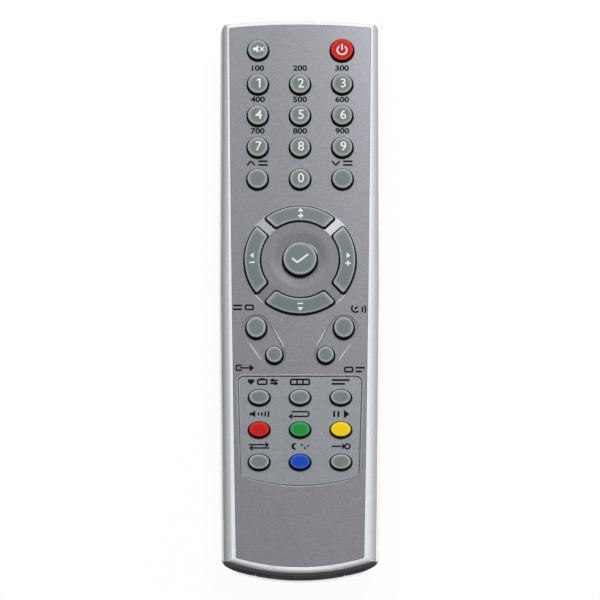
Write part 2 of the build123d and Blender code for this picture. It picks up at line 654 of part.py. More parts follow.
# ================= Cells and their contacts =================
def cell(side, positive_y, towards):
    """A cell whose positive nub touches positive_y, with its body away from the given direction."""
    nub = Plane(origin=(side * CELL_PITCH / 2, positive_y, CELL_Z), z_dir=(0, -towards, 0))
    with BuildPart() as form:
        with BuildSketch(nub):
            Circle(CELL_NUB_RADIUS)
        extrude(amount=CELL_NUB + WIRE)
        with BuildSketch(nub.offset(CELL_NUB)):
            Circle(CELL_RADIUS)
        extrude(amount=CELL_LENGTH)
    return form.part


def coil(side, plate_y, towards):
    """The spring that presses on a cell's flat end, standing out of a plate."""
    start_y = plate_y + towards * WIRE / 4
    height = SPRING_LENGTH - 0.75 * WIRE
    foot = (side * CELL_PITCH / 2, start_y, CELL_Z)
    path = Helix(height / SPRING_TURNS, height, SPRING_RADIUS, center=foot, direction=(0, towards, 0))
    with BuildPart() as form:
        with BuildSketch(Plane(origin=path @ 0, z_dir=path % 0)):
            Rectangle(WIRE, WIRE)
        sweep(path=path, is_frenet=True)
    return form.part


def plate(x_from, x_to, y_from):
    return block(x_from, x_to, y_from, y_from + PLATE_THICK, CELL_Z - PLATE_HALF, CELL_Z + PLATE_HALF)


def tail(side):
    """The strip of a contact that passes through the top of the bay to the board."""
    x, half = side * CELL_PITCH / 2, TAIL_HALF - DOOR_GAP
    return block(x - half, x + half, PLATE_IR_Y, BAY_IR_Y, CELL_Z, BOARD_LOW_Z)


save(cell(-1, PLATE_IR_Y, 1), "battery_left")
save(cell(1, PLATE_HAND_Y, -1), "battery_right")
inner, outer = CELL_PITCH / 2 - PLATE_HALF, CELL_PITCH / 2 + PLATE_HALF
save(Part() + plate(-outer, outer, BAY_HAND_Y) + coil(-1, PLATE_HAND_Y, 1), "contact_bridge")
save(Part() + plate(-outer, -inner, PLATE_IR_Y) + tail(-1), "contact_positive")
save(Part() + plate(inner, outer, PLATE_IR_Y) + tail(1) + coil(1, PLATE_IR_Y, -1), "contact_negative")

# ================= Screws that join the lower case to the bosses of the face panel =================
for side, name in ((-1, "screw_left"), (1, "screw_right")):
    with BuildPart() as screw:
        with Locations((side * SCREW_X, SCREW_Y, SCREW_SEAT_Z)):
            Cylinder(SCREW_RADIUS, SCREW_TIP_Z - SCREW_SEAT_Z, align=STANDING)
            Cylinder(SCREW_HEAD_RADIUS, SCREW_HEAD_HEIGHT, align=HANGING)
    save(screw.part, name)

# ================= Parts on the underside of the board =================
with BuildPart() as control_chip:
    with Locations((0, CHIP_Y, BOARD_LOW_Z - LEG_THICK)):
        Box(*CHIP_SIZE, align=HANGING)
    with Locations((0, CHIP_Y, BOARD_LOW_Z)):
        with GridLocations(CHIP_SIZE[0], LEG_PITCH, 2, CHIP_LEGS):
            Box(2 * LEG_REACH, LEG_WIDTH, 3 * LEG_THICK, align=HANGING)
save(control_chip.part, "control_chip")

with BuildPart() as crystal_resonator:
    with BuildSketch(Plane.XY.offset(BOARD_LOW_Z)):
        with Locations(CRYSTAL_AT):
            SlotOverall(CRYSTAL_SIZE[0], CRYSTAL_SIZE[1])
    extrude(amount=-CRYSTAL_SIZE[2])
save(crystal_resonator.part, "crystal_resonator")

with BuildPart() as capacitor:
    with Locations((*CAPACITOR_AT, BOARD_LOW_Z - CAPACITOR_RADIUS)):
        Cylinder(CAPACITOR_RADIUS, CAPACITOR_LENGTH, rotation=(QUARTER_TURN, 0, 0))
save(capacitor.part, "capacitor")

with BuildPart() as drive_transistor:
    with BuildSketch(Plane.XY.offset(BOARD_LOW_Z)):
        with Locations(TRANSISTOR_AT):
            Circle(TRANSISTOR_RADIUS)
            across = 3 * TRANSISTOR_RADIUS
            Rectangle(across, across, align=BACKWARD, mode=Mode.INTERSECT)
    extrude(amount=-TRANSISTOR_HEIGHT)
save(drive_transistor.part, "drive_transistor")

for number in range(RESISTORS):
    with BuildPart() as resistor:
        x, y = RESISTOR_AT[0] + number * RESISTOR_PITCH, RESISTOR_AT[1]
        with Locations((x, y, BOARD_LOW_Z - RESISTOR_RADIUS)):
            Cylinder(RESISTOR_RADIUS, RESISTOR_LENGTH, rotation=(QUARTER_TURN, 0, 0))
    save(resistor.part, f"resistor_{number + 1}")
print("written", len(written), "pieces")
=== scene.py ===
"""Finishes, moulded keys and printed marks of a handheld remote control, in a plain studio."""

import logging
import math
from dataclasses import dataclass, field
from enum import Enum
from functools import cached_property
from typing import Any, Callable, ClassVar, Iterable, Optional, Sequence, Union

import bmesh
import bpy
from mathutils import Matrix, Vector

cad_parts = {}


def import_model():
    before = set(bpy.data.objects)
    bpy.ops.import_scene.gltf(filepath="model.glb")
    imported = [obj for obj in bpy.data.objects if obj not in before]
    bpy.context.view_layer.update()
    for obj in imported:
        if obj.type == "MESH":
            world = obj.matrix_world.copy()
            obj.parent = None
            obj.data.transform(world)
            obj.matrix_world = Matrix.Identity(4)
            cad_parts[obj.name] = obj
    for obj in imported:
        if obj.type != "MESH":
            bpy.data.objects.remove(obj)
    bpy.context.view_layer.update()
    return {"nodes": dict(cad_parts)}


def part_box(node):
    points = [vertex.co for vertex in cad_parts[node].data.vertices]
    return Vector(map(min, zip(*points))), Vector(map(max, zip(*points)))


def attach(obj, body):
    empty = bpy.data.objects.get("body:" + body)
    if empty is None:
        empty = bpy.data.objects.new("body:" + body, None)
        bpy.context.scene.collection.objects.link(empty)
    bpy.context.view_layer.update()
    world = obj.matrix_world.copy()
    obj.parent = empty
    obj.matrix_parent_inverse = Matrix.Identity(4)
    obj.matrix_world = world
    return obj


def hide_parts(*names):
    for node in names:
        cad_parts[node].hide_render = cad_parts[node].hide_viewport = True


LOG = logging.getLogger("remote_control")

MM = 0.001

Point = tuple[float, float]
Place = tuple[float, float, float]
Colour = tuple[float, float, float]
Material = bpy.types.Material
Piece = bpy.types.Object
Row = list[bmesh.types.BMVert]
Socket = bpy.types.NodeSocket
Value = Union[float, Colour, Socket]
Height = Callable[[float, float], float]

WHITE: Colour = (1.0, 1.0, 1.0)
FACE_Z = 20.0 * MM
FIELD_Z = 19.6 * MM
HUB_Y = 10.1 * MM
MOUND_RADIUS = 19.3 * MM


class Finish(Enum):
    """The finishes that the scene's pieces are sorted by; each key's finish picks its silicone."""

    PANEL = "silver_panel"
    GREY_KEY = "grey_key"
    RED_KEY = "red_key"
    GREEN_KEY = "green_key"
    YELLOW_KEY = "yellow_key"
    BLUE_KEY = "blue_key"


# ---- shared steps


def spread(low: float, high: float, steps: int) -> list[float]:
    """Evenly spaced values from low to high."""
    return [low + (high - low) * step / steps for step in range(steps + 1)]


def on_circle(centre: Point, radius: float, turns: Iterable[float]) -> list[Point]:
    """The points of a circle at some angles, given in degrees."""
    angles = [math.radians(turn) for turn in turns]
    return [(centre[0] + radius * math.cos(t), centre[1] + radius * math.sin(t)) for t in angles]


def sideways(start: Point, end: Point, reach: float) -> Vector:
    """A step of a given length to the left of the way from start to end."""
    along = (Vector(end) - Vector(start)).normalized()
    return Vector((-along.y, along.x)) * reach


def middle_of(node: str, up: float = 0.0) -> Point:
    """The middle of a node's box seen from above, or a place further up the face."""
    low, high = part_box(node)
    return (low[0] + high[0]) / 2, (low[1] + high[1]) / 2 + up


def link(name: str, data: bpy.types.ID) -> Piece:
    """Adds an object to the scene.

    Args:
        name: Its name.
        data: Its mesh, text, lamp or camera.

    Returns:
        The object.
    """
    made = bpy.data.objects.new(name, data)
    bpy.context.scene.collection.objects.link(made)
    return made


# ---- materials


@dataclass
class Nodes:
    """The nodes of a new material, or of a new world: adds more of them and joins their sockets."""

    name: str
    kind: ClassVar[str] = "materials"
    edge_samples: ClassVar[int] = 6

    def __post_init__(self) -> None:
        """Starts from the one shader that a new material or world has."""
        self.owner = getattr(bpy.data, self.kind).new(self.name)
        self.owner.use_nodes = True
        self.tree = self.owner.node_tree
        self.output = next(node for node in self.tree.nodes if node.type.startswith("OUTPUT"))
        self.shader = self.output.inputs["Surface"].links[0].from_node

    @cached_property
    def place(self) -> Socket:
        """The surface point, in metres."""
        return self.add("TexCoord").outputs["Object"]

    def put(self, socket: Socket, value: Value) -> None:
        """Links a socket, or sets its own value.

        Args:
            socket: The input to fill.
            value: A number, a colour, or an output socket.
        """
        if isinstance(value, Socket):
            self.tree.links.new(value, socket)
        elif isinstance(value, tuple) and len(socket.default_value) == len(value) + 1:
            socket.default_value = (*value, 1.0)
        else:
            socket.default_value = value

    def add(
        self, kind: str, inputs: Optional[dict[Any, Value]] = None, **settings: Any
    ) -> bpy.types.Node:
        """Adds a shader node.

        Args:
            kind: The node's type name, without its first part.
            inputs: Values or links for its inputs, by socket name or number.
            **settings: The node's own properties.

        Returns:
            The new node.
        """
        node = self.tree.nodes.new(f"ShaderNode{kind}")
        for name, value in settings.items():
            setattr(node, name, value)
        for name, value in (inputs or {}).items():
            self.put(node.inputs[name], value)
        return node

    def surface(self, **inputs: Value) -> Any:
        """Fills the shader's sockets.

        Args:
            **inputs: Values or links by socket name, with underscores for spaces.

        Returns:
            The material or world.
        """
        for name, value in inputs.items():
            self.put(self.shader.inputs[name.replace("_", " ")], value)
        return self.owner

    def calc(self, operation: str, *values: Value) -> Socket:
        """The result of a Math node."""
        return self.add("Math", dict(enumerate(values)), operation=operation).outputs[0]

    def axis(self, letter: str, vector: Optional[Socket] = None) -> Socket:
        """One coordinate of the surface point in metres, or of another vector."""
        return self.add("SeparateXYZ", {"Vector": vector or self.place}).outputs[letter]

    def span(
        self, value: Value, low: float, high: float, to_low: Value = 0.0, to_high: Value = 1.0
    ) -> Socket:
        """A smooth, clamped change of range, from low and high to to_low and to_high."""
        values = {0: value, 1: low, 2: high, 3: to_low, 4: to_high}
        return self.add("MapRange", values, interpolation_type="SMOOTHSTEP").outputs[0]

    def blend(self, factor: Value, first: Value, second: Value) -> Socket:
        """A mix of two colours, by the share of the second."""
        return self.add("Mix", {0: factor, 6: first, 7: second}, data_type="RGBA").outputs[2]

    def noise(self, grain: float, detail: float = 2.0, rough: float = 0.5) -> Socket:
        """Cloudy noise from 0 to 1, by its features' size in metres and its number of layers."""
        names = {"Vector": self.place, "Scale": 1.0 / grain, "Detail": detail, "Roughness": rough}
        return self.add("TexNoise", names).outputs["Fac"]

    def cells(self, grain: float, result: str = "Color") -> Socket:
        """Cells of a given size in metres, with a value of their own each."""
        return self.add("TexVoronoi", {"Vector": self.place, "Scale": 1.0 / grain}).outputs[result]

    def attribute(self, name: str) -> Socket:
        """A number stored on the mesh."""
        return self.add("Attribute", attribute_name=name).outputs["Fac"]

    def cloudy(self, colour: Colour, grain: float, detail: float, other: float) -> Socket:
        """A colour that drifts over the surface towards other times itself."""
        return self.blend(self.noise(grain, detail), colour, tuple(other * part for part in colour))

    def uneven(self, middle: float, swing: float, grain: float, detail: float) -> Socket:
        """A value that wavers over the surface by as much as its swing."""
        return self.span(self.noise(grain, detail), 0.3, 0.7, middle - swing, middle + swing)

    def seen(self) -> Socket:
        """Tells what is looked at from what only takes light.

        Returns:
            A socket that is 1 for what the camera, a reflection or glass sees, and 0 for the rest.
        """
        path = self.add("LightPath").outputs
        seen = self.calc("MAXIMUM", path["Is Camera Ray"], path["Is Glossy Ray"])
        return self.calc("MAXIMUM", seen, path["Is Transmission Ray"])

    def bump(self, height: Value, depth: float, edge: float = 0.0) -> Socket:
        """A normal that follows a height.

        Args:
            height: The height, from 0 to 1.
            depth: What a height of 1 stands for, in metres.
            edge: How far the piece's edges look rounded off, in metres.

        Returns:
            The normal.
        """
        names: dict[str, Value] = {"Height": height, "Distance": depth}
        if edge:
            rounded = self.add("Bevel", {"Radius": edge}, samples=self.edge_samples)
            names["Normal"] = rounded.outputs["Normal"]
        return self.add("Bump", names).outputs["Normal"]


@dataclass
class FlakePaint(Nodes):
    """Paint with fine bright and dark flakes in its tint."""

    tint: Colour
    contrast: float = 0.08
    metallic: float = 0.0
    roughness: float = 0.5
    specular: float = 0.2
    flake: float = 0.42 * MM
    small_share: float = 0.6
    mean_flake: float = 0.8
    edge: float = 0.18 * MM
    peel: float = 0.006 * MM

    def relief(self) -> Socket:
        """The height of the orange peel, in shares of its depth."""
        return self.noise(0.6 * MM)

    def speckle(self, tint: Value) -> Socket:
        """Lightens and darkens a tint from flake to flake.

        Args:
            tint: The tint.

        Returns:
            The speckled tint.
        """
        grains = (self.cells(grain) for grain in (self.flake, self.flake / 2))
        large, small = (self.add("SeparateColor", {"Color": grain}).outputs[0] for grain in grains)
        mixed = self.calc("MULTIPLY_ADD", small, self.small_share, large)
        swing = self.calc("SUBTRACT", mixed, self.mean_flake)
        scaling = {"Vector": tint, "Scale": self.calc("MULTIPLY_ADD", swing, self.contrast, 1.0)}
        return self.add("VectorMath", scaling, operation="SCALE").outputs[0]

    def tinted(self) -> Value:
        """The tint before the flakes are added."""
        return self.cloudy(self.tint, 9 * MM, 2.0, 0.98)

    def shine(self) -> tuple[Value, Value]:
        """How metallic and how rough the paint is."""
        return self.metallic, self.uneven(self.roughness, 0.03, 0.7 * MM, 2.0)

    def build(self) -> Material:
        """Makes the node material.

        Returns:
            The material.
        """
        metallic, rough = self.shine()
        return self.surface(
            Base_Color=self.speckle(self.tinted()),
            Metallic=metallic,
            Roughness=rough,
            Specular_IOR_Level=self.specular,
            Normal=self.bump(self.relief(), self.peel, self.edge),
        )


@dataclass
class ShellPaint(FlakePaint):
    """The upper case's paint, with painted highlights on its crest, lowest band and palm-end lip,
    and painted shade, nearly black, on the palm end's wall.
    """

    # painted highlight: paler tint on the lowest band, below band_top_z
    band_painted_highlight: Colour = (0.96, 0.965, 0.97)
    band_top_z: float = 14.2 * MM
    # painted highlight: paler tint on the crest, growing from crest_from_z to crest_z
    crest_painted_highlight: Colour = (0.76, 0.79, 0.82)
    crest_from_z: float = 18.0 * MM
    crest_z: float = 19.8 * MM
    # painted highlight: paler tint on the palm-end lip, past lip_y
    lip_painted_highlight: Colour = (0.95, 0.95, 0.96)
    lip_y: float = -94.3 * MM
    # painted shade: nearly black tint on the palm-end wall, below toe_z
    toe_painted_shade: Colour = (0.018, 0.018, 0.02)
    toe_z: float = 18.4 * MM
    toe_fade: float = 0.3 * MM

    def tinted(self) -> Value:
        """The tint before the flakes are added.

        Returns:
            The tint, by height and by the way the surface faces, with painted highlights on the
            crest, lowest band and palm-end lip, and painted shade on the palm-end wall.
        """
        height = self.axis("Z")
        # painted highlight: the rail turns paler towards its crest
        crest = self.span(height, self.crest_from_z, self.crest_z)
        rail = self.blend(crest, super().tinted(), self.crest_painted_highlight)
        # painted highlight: the lowest band is paler
        banded = self.blend(self.calc("LESS_THAN", height, self.band_top_z), rail, self.band_painted_highlight)
        # painted highlight: the palm-end lip is paler
        lip = self.calc("LESS_THAN", self.axis("Y"), self.lip_y)
        lipped = self.blend(lip, banded, self.lip_painted_highlight)
        # painted shade: the wall that faces the palm end, below toe_z, turns nearly black
        handward = self.axis("Y", self.add("NewGeometry").outputs["Normal"])
        facing = self.span(handward, -0.85, -0.7, 1.0, 0.0)
        low = self.span(height, self.toe_z, self.toe_z + self.toe_fade, 1.0, 0.0)
        return self.blend(self.calc("MULTIPLY", facing, low), lipped, self.toe_painted_shade)


@dataclass
class PanelPaint(FlakePaint):
    """The face panel's paint, cooler in the sunk field, with painted shade as a darker tint on the
    direction ring's hub, on a slightly crowned face.
    """

    field_tint: Colour = (0.195, 0.208, 0.225)
    field_from_y: float = -30.0 * MM
    field_below_z: float = 19.8 * MM
    crown_radius: float = 0.5
    hub_radius: float = 13.3 * MM
    hub_metallic: float = 0.12
    hub_roughness: float = 0.5
    # painted shade: a darker tint on the hub of the direction ring
    hub_painted_shade: Colour = (0.137, 0.138, 0.154)
    mound_roughness: float = 0.4

    def relief(self) -> Socket:
        """The height of the orange peel on the crown, in shares of the peel's depth.

        Returns:
            The height.
        """
        across = self.axis("X")
        square = self.calc("MULTIPLY", across, across)
        crown = self.calc("MULTIPLY", square, -0.5 / (self.crown_radius * self.peel))
        return self.calc("ADD", super().relief(), crown)

    def within(self, radius: float) -> Socket:
        """Finds the points near the middle of the direction ring.

        Args:
            radius: How near, in metres.

        Returns:
            A socket that is 1 for them and 0 elsewhere.
        """
        across, along = self.axis("X"), self.calc("SUBTRACT", self.axis("Y"), HUB_Y)
        square = self.calc("MULTIPLY_ADD", across, across, self.calc("MULTIPLY", along, along))
        return self.calc("LESS_THAN", square, radius * radius)

    def shine(self) -> tuple[Value, Value]:
        """How metallic and how rough the paint is, duller on the mound of the direction ring.

        Returns:
            Both values.
        """
        metallic, rough = super().shine()
        hub, mound = self.within(self.hub_radius), self.within(MOUND_RADIUS)
        for area, least in ((mound, self.mound_roughness), (hub, self.hub_roughness)):
            rough = self.calc("MAXIMUM", rough, self.calc("MULTIPLY", area, least))
        return self.span(hub, 0.0, 1.0, metallic, self.hub_metallic), rough

    def tinted(self) -> Value:
        """The tint before the flakes are added.

        Returns:
            The tint, with the field's own where the surface is sunk, and a darker tint on the hub
            as painted shade.
        """
        low = self.calc("LESS_THAN", self.axis("Z"), self.field_below_z)
        handward = self.calc("LESS_THAN", self.axis("Y"), self.field_from_y)
        # painted shade: the hub is darkened
        face = self.blend(self.within(self.hub_radius), super().tinted(), self.hub_painted_shade)
        return self.blend(self.calc("MULTIPLY", low, handward), face, self.field_tint)


@dataclass
class Silicone(Nodes):
    """Moulded silicone, paler on the rim of a key as a painted highlight and nearly black down its
    side as painted shade.
    """

    middle: Colour
    # painted highlight: the paler colour of a key's rim
    rim: Colour
    # painted shade: the nearly black colour down a key's side
    wall: Colour
    roughness: float = 0.5
    specular: float = 0.08
    patches: float = 0.3

    def build(self) -> Material:
        """Makes the node material.

        Returns:
            The material.
        """
        patch = self.calc("SUBTRACT", self.noise(0.9 * MM, 3.0), 0.5)
        patchy = self.calc("MULTIPLY_ADD", patch, self.patches, self.attribute("rim"))
        # painted highlight: the rim share turns the top towards the paler rim colour
        top = self.blend(self.span(patchy, 0.0, 1.0), self.middle, self.rim)
        # painted shade: the depth share turns the side nearly black
        colour = self.blend(self.span(self.attribute("depth"), 0.0, 1.0), top, self.wall)
        grain = self.calc("MULTIPLY_ADD", self.noise(0.16 * MM), 0.6, self.noise(0.5 * MM))
        return self.surface(
            Base_Color=colour,
            Roughness=self.uneven(self.roughness, 0.06, 1.4 * MM, 2.0),
            Specular_IOR_Level=self.specular,
            Normal=self.bump(grain, 0.012 * MM),
        )


@dataclass
class GrainedPlastic(Nodes):
    """Moulded plastic with a spark-eroded grain."""

    colour: Colour
    roughness: float = 0.5
    specular: float = 0.5
    grain: float = 0.35 * MM
    depth: float = 0.02 * MM

    def build(self) -> Material:
        """Makes the node material.

        Returns:
            The material.
        """
        pits = self.cells(self.grain, "Distance")
        height = self.calc("MULTIPLY_ADD", pits, 0.5, self.noise(self.grain, 3.0))
        return self.surface(
            Base_Color=self.cloudy(self.colour, 14 * MM, 4.0, 1.35),
            Roughness=self.uneven(self.roughness, 0.07, 6 * MM, 3.0),
            Specular_IOR_Level=self.specular,
            Normal=self.bump(height, self.depth),
        )


@dataclass
class Ink(Nodes):
    """Printed ink, a little uneven as it comes off the pad."""

    colour: Colour
    fade: Colour
    roughness: float = 0.6
    specular: float = 0.04

    def build(self) -> Material:
        """Makes the node material.

        Returns:
            The material.
        """
        thin = self.span(self.noise(0.35 * MM, 3.0), 0.45, 0.8)
        return self.surface(
            Base_Color=self.blend(thin, self.colour, self.fade),
            Roughness=self.roughness,
            Specular_IOR_Level=self.specular,
            Normal=self.bump(self.noise(0.1 * MM), 0.003 * MM),
        )


@dataclass
class PlatedMetal(Nodes):
    """Plated sheet or wire with faint drawing lines."""

    colour: Colour
    roughness: float = 0.3
    line: float = 0.12 * MM
    stretch: float = 0.08

    def build(self) -> Material:
        """Makes the node material.

        Returns:
            The material.
        """
        rough = self.uneven(self.roughness + 0.01, 0.09, 1.2 * MM, 3.0)
        colour = self.cloudy(self.colour, 3 * MM, 3.0, 0.8)
        scaling = {"Vector": self.place, "Scale": (1.0, self.stretch, 1.0)}
        drawn = {"Vector": self.add("Mapping", scaling).outputs[0], "Scale": 1.0 / self.line}
        lines = self.add("TexNoise", drawn).outputs["Fac"]
        normal = self.bump(lines, 0.004 * MM)
        return self.surface(Base_Color=colour, Metallic=1.0, Roughness=rough, Normal=normal)


@dataclass
class CellSleeve(Nodes):
    """A dry cell's printed sleeve with a band at its positive end, between bare steel ends."""

    node: str
    toward: int
    sleeve: Colour = (0.02, 0.02, 0.022)
    band: Colour = (0.72, 0.33, 0.12)
    band_metallic: float = 0.7
    steel: Colour = (0.7, 0.7, 0.7)
    bare_length: float = 1.3 * MM
    band_length: float = 12.0 * MM

    def build(self) -> Material:
        """Makes the node material.

        Returns:
            The material.
        """
        low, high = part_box(self.node)
        half = (high[1] - low[1]) / 2 - self.bare_length
        from_middle = self.calc("SUBTRACT", self.axis("Y"), middle_of(self.node)[1])
        along = self.calc("MULTIPLY", from_middle, float(self.toward))
        banded = self.calc("GREATER_THAN", along, half - self.band_length)
        bare = self.calc("GREATER_THAN", self.calc("ABSOLUTE", along), half)
        scuffs = self.span(self.noise(2.0 * MM, 5.0, 0.7), 0.62, 0.72, 0.0, 0.35)
        print_colour = self.blend(banded, self.blend(scuffs, self.sleeve, self.steel), self.band)
        shiny = self.calc("ADD", bare, self.calc("MULTIPLY", banded, self.band_metallic))
        return self.surface(
            Base_Color=self.blend(bare, print_colour, self.steel),
            Metallic=self.span(shiny, 0.0, 1.0),
            Roughness=self.uneven(0.3, 0.06, 1.5 * MM, 3.0),
            Normal=self.bump(self.noise(1.2 * MM), 0.004 * MM),
        )


@dataclass
class BoardLaminate(Nodes):
    """Solder mask over copper tracks on a paper laminate."""

    mask: Colour
    track: Colour
    pitch: float = 2.54 * MM
    black: Colour = (0.0, 0.0, 0.0)

    def build(self) -> Material:
        """Makes the node material.

        Returns:
            The material.
        """
        bricks = {"Vector": self.place, "Scale": 1.0 / self.pitch, "Brick Width": 3.0}
        colours = {"Color1": self.black, "Color2": self.black, "Mortar": WHITE}
        sizes = {"Row Height": 0.5, "Mortar Size": 0.12}
        tracks = self.add("TexBrick", bricks | colours | sizes).outputs["Fac"]
        colour = self.blend(tracks, self.mask, self.track)
        normal = self.bump(tracks, 0.03 * MM)
        return self.surface(Base_Color=colour, Roughness=0.35, Coat_Weight=0.4, Normal=normal)


@dataclass
class TintedPlastic(Nodes):
    """Clear or dark polished plastic that lets some light through."""

    colour: Colour
    transmission: float
    roughness: float = 0.08
    haze: float = 0.08

    def build(self) -> Material:
        """Makes the node material.

        Returns:
            The material.
        """
        colour = self.cloudy(self.colour, 5 * MM, 2.0, 1.2)
        haze = self.noise(3 * MM, 4.0)
        return self.surface(
            Base_Color=colour,
            Roughness=self.span(haze, 0.35, 0.75, self.roughness, self.roughness + self.haze),
            Transmission_Weight=self.transmission,
        )


# ---- moulded pieces


class Moulding:
    """A closed mesh made by joining rows of points from its foot to its top."""

    # painted shade on a key's side is lightened on the side that faces the lamps
    lit_skew: ClassVar[float] = 0.25
    lit_share: ClassVar[float] = 0.9

    def __init__(self) -> None:
        """Starts an empty mesh that keeps, for each point, the shares of painted highlight and
        painted shade that the silicone needs.
        """
        self.mesh = bmesh.new()
        self.rim, self.depth = (self.mesh.verts.layers.float.new(name) for name in ("rim", "depth"))

    def row(
        self,
        points: Sequence[Point],
        heights: Sequence[float],
        rim: float = 0.0,
        depth: float = 0.0,
        lit: Optional[Point] = None,
    ) -> Row:
        """Adds a row of points.

        Args:
            points: Their places seen from above.
            heights: Their heights.
            rim: How much they take of the painted highlight on a key's rim.
            depth: How much they take of the painted shade down a key's side.
            lit: Middle of the key, whose painted shade is lighter on the side towards the lamps at
                the infrared end.

        Returns:
            Its vertices in order.
        """
        verts = [self.mesh.verts.new((x, y, z)) for (x, y), z in zip(points, heights)]
        for vert in verts:
            vert[self.rim], vert[self.depth] = rim, depth
            # painted shade: less dark where the side faces the lamps at the infrared end
            if lit:
                across, along = vert.co.x - lit[0], vert.co.y - lit[1]
                towards = max(0.0, along - self.lit_skew * across) / math.hypot(across, along)
                vert[self.depth] = depth * (1.0 - self.lit_share * towards)
        return verts

    def skin(self, rows: Sequence[Row]) -> None:
        """Joins neighbouring rows of a closed outline with quads."""
        for lower, upper in zip(rows, rows[1:]):
            self.quads([*lower, lower[0]], [*upper, upper[0]])

    def quads(self, lower: Row, upper: Row) -> None:
        """Joins two rows with quads."""
        for index in range(len(lower) - 1):
            self.mesh.faces.new((lower[index], lower[index + 1], upper[index + 1], upper[index]))

    def piece(
        self, name: str, material: Material, body: str, finish: Finish, sharp: float = 40.0
    ) -> Piece:
        """Turns the mesh into a piece that rides on a body.

        Args:
            name: The piece's name.
            material: Its material.
            body: The body that carries it.
            finish: Not used.
            sharp: Angle in degrees above which an edge stays sharp.

        Returns:
            The piece.
        """
        bmesh.ops.recalc_face_normals(self.mesh, faces=self.mesh.faces)
        for face in self.mesh.faces:
            face.smooth = sharp > 0
        for edge in self.mesh.edges:
            edge.smooth = edge.calc_face_angle(0.0) < math.radians(sharp)
        data = bpy.data.meshes.new(name)
        self.mesh.to_mesh(data)
        self.mesh.free()
        data.materials.append(material)
        made = link(name, data)
        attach(made, body)
        LOG.info("%s: %d faces", name, len(data.polygons))
        return made


@dataclass
class Key(Moulding):
    """A silicone key: a cap with a rolled shoulder and a slightly domed top, on its foot."""

    node: str
    finish: Finish
    shoulder: float = 0.42 * MM
    dome: float = 0.08 * MM
    flange: float = 0.65 * MM
    flange_height: float = 0.9 * MM
    clearance: float = 0.09 * MM
    lean: float = 0.07 * MM
    # painted shade on the shoulder, and how fast it fades towards the top
    side_shade: float = 0.85
    side_shade_fade: float = 0.7
    shoulder_steps: int = 5
    dome_steps: int = 9
    points: int = 56
    # how tightly the painted rim highlight hugs the edge of the top
    glow: int = 6

    def __post_init__(self) -> None:
        """Starts the mesh, and takes the key's place and size from the frame."""
        super().__init__()
        low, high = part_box(self.node)
        self.foot_z, self.top_z, self.centre = low[2], high[2], middle_of(self.node)
        self.half = ((high[0] - low[0]) / 2 - self.flange, (high[1] - low[1]) / 2 - self.flange)

    def outline(self, inset: float) -> list[Point]:
        """The cap's outline.

        Args:
            inset: How far it is drawn in, in metres.

        Returns:
            Its points.
        """
        across, along = (half - self.clearance - inset for half in self.half)
        turns = (2 * math.pi * index / self.points for index in range(self.points))
        x, y = self.centre[0], self.centre[1] + self.lean
        return [(x + across * math.cos(turn), y + along * math.sin(turn)) for turn in turns]

    def top_at(self, x: float, y: float) -> float:
        """Finds how high the top stands over a point.

        Args:
            x: The point's place across.
            y: The point's place along.

        Returns:
            The height.
        """
        spots = zip((x, y), self.centre, self.half)
        across, along = ((spot - middle) / (half - self.shoulder) for spot, middle, half in spots)
        return self.top_z - self.dome * min(1.0, across * across + along * along)

    def side_rows(self) -> list[Row]:
        """Adds the foot, the wall and the rolled shoulder, with painted shade down the side and the
        painted rim highlight on the shoulder.

        Returns:
            The rows from the foot's underside up to the shoulder's top.
        """
        wide, wall, edge = (self.outline(inset) for inset in (-self.flange, 0.0, self.shoulder))
        ledge_z = self.foot_z + self.flange_height
        foot = ((wide, self.foot_z), (wide, ledge_z), (wall, ledge_z))
        # painted shade: the foot and the wall are fully dark
        rows = [self.row(points, [z] * len(points), depth=1.0) for points, z in foot]
        for share in spread(0.0, 1.0, self.shoulder_steps):
            turn = 0.5 * math.pi * share
            points = self.outline(self.shoulder * (1 - math.cos(turn)))
            heights = [self.top_at(x, y) - self.shoulder * (1 - math.sin(turn)) for x, y in edge]
            # painted shade fades up the shoulder, which takes the full painted rim highlight
            depth = self.side_shade * (1 - share) ** self.side_shade_fade
            rows.append(self.row(points, heights, 1.0, depth, self.centre))
        return rows

    def close_top(self, rim_row: Row) -> None:
        """Closes the domed top with rings that shrink to its middle, the painted rim highlight
        fading inwards.

        Args:
            rim_row: The shoulder's last row.
        """
        rows, edge = [rim_row], self.outline(self.shoulder)
        for step in range(1, self.dome_steps):
            share = 1 - step / self.dome_steps
            points = [tuple(Vector(self.centre).lerp(Vector(spot), share)) for spot in edge]
            heights = [self.top_at(x, y) for x, y in points]
            # painted highlight: the rim share falls off towards the middle of the top
            rows.append(self.row(points, heights, rim=share**self.glow))
        self.skin(rows)
        tip = self.row([self.centre], [self.top_at(*self.centre)])[0]
        for vert, after in zip(rows[-1], rows[-1][1:] + rows[-1][:1]):
            self.mesh.faces.new((vert, after, tip))

    def build(self, material: Material) -> None:
        """Makes the key and puts it in the place of its plain solid.

        Args:
            material: Its silicone.
        """
        rows = self.side_rows()
        self.skin(rows)
        self.mesh.faces.new(rows[0][::-1])
        self.close_top(rows[-1])
        made = self.piece(f"{self.node}_cap", material, self.node, self.finish)
        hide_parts(self.node)


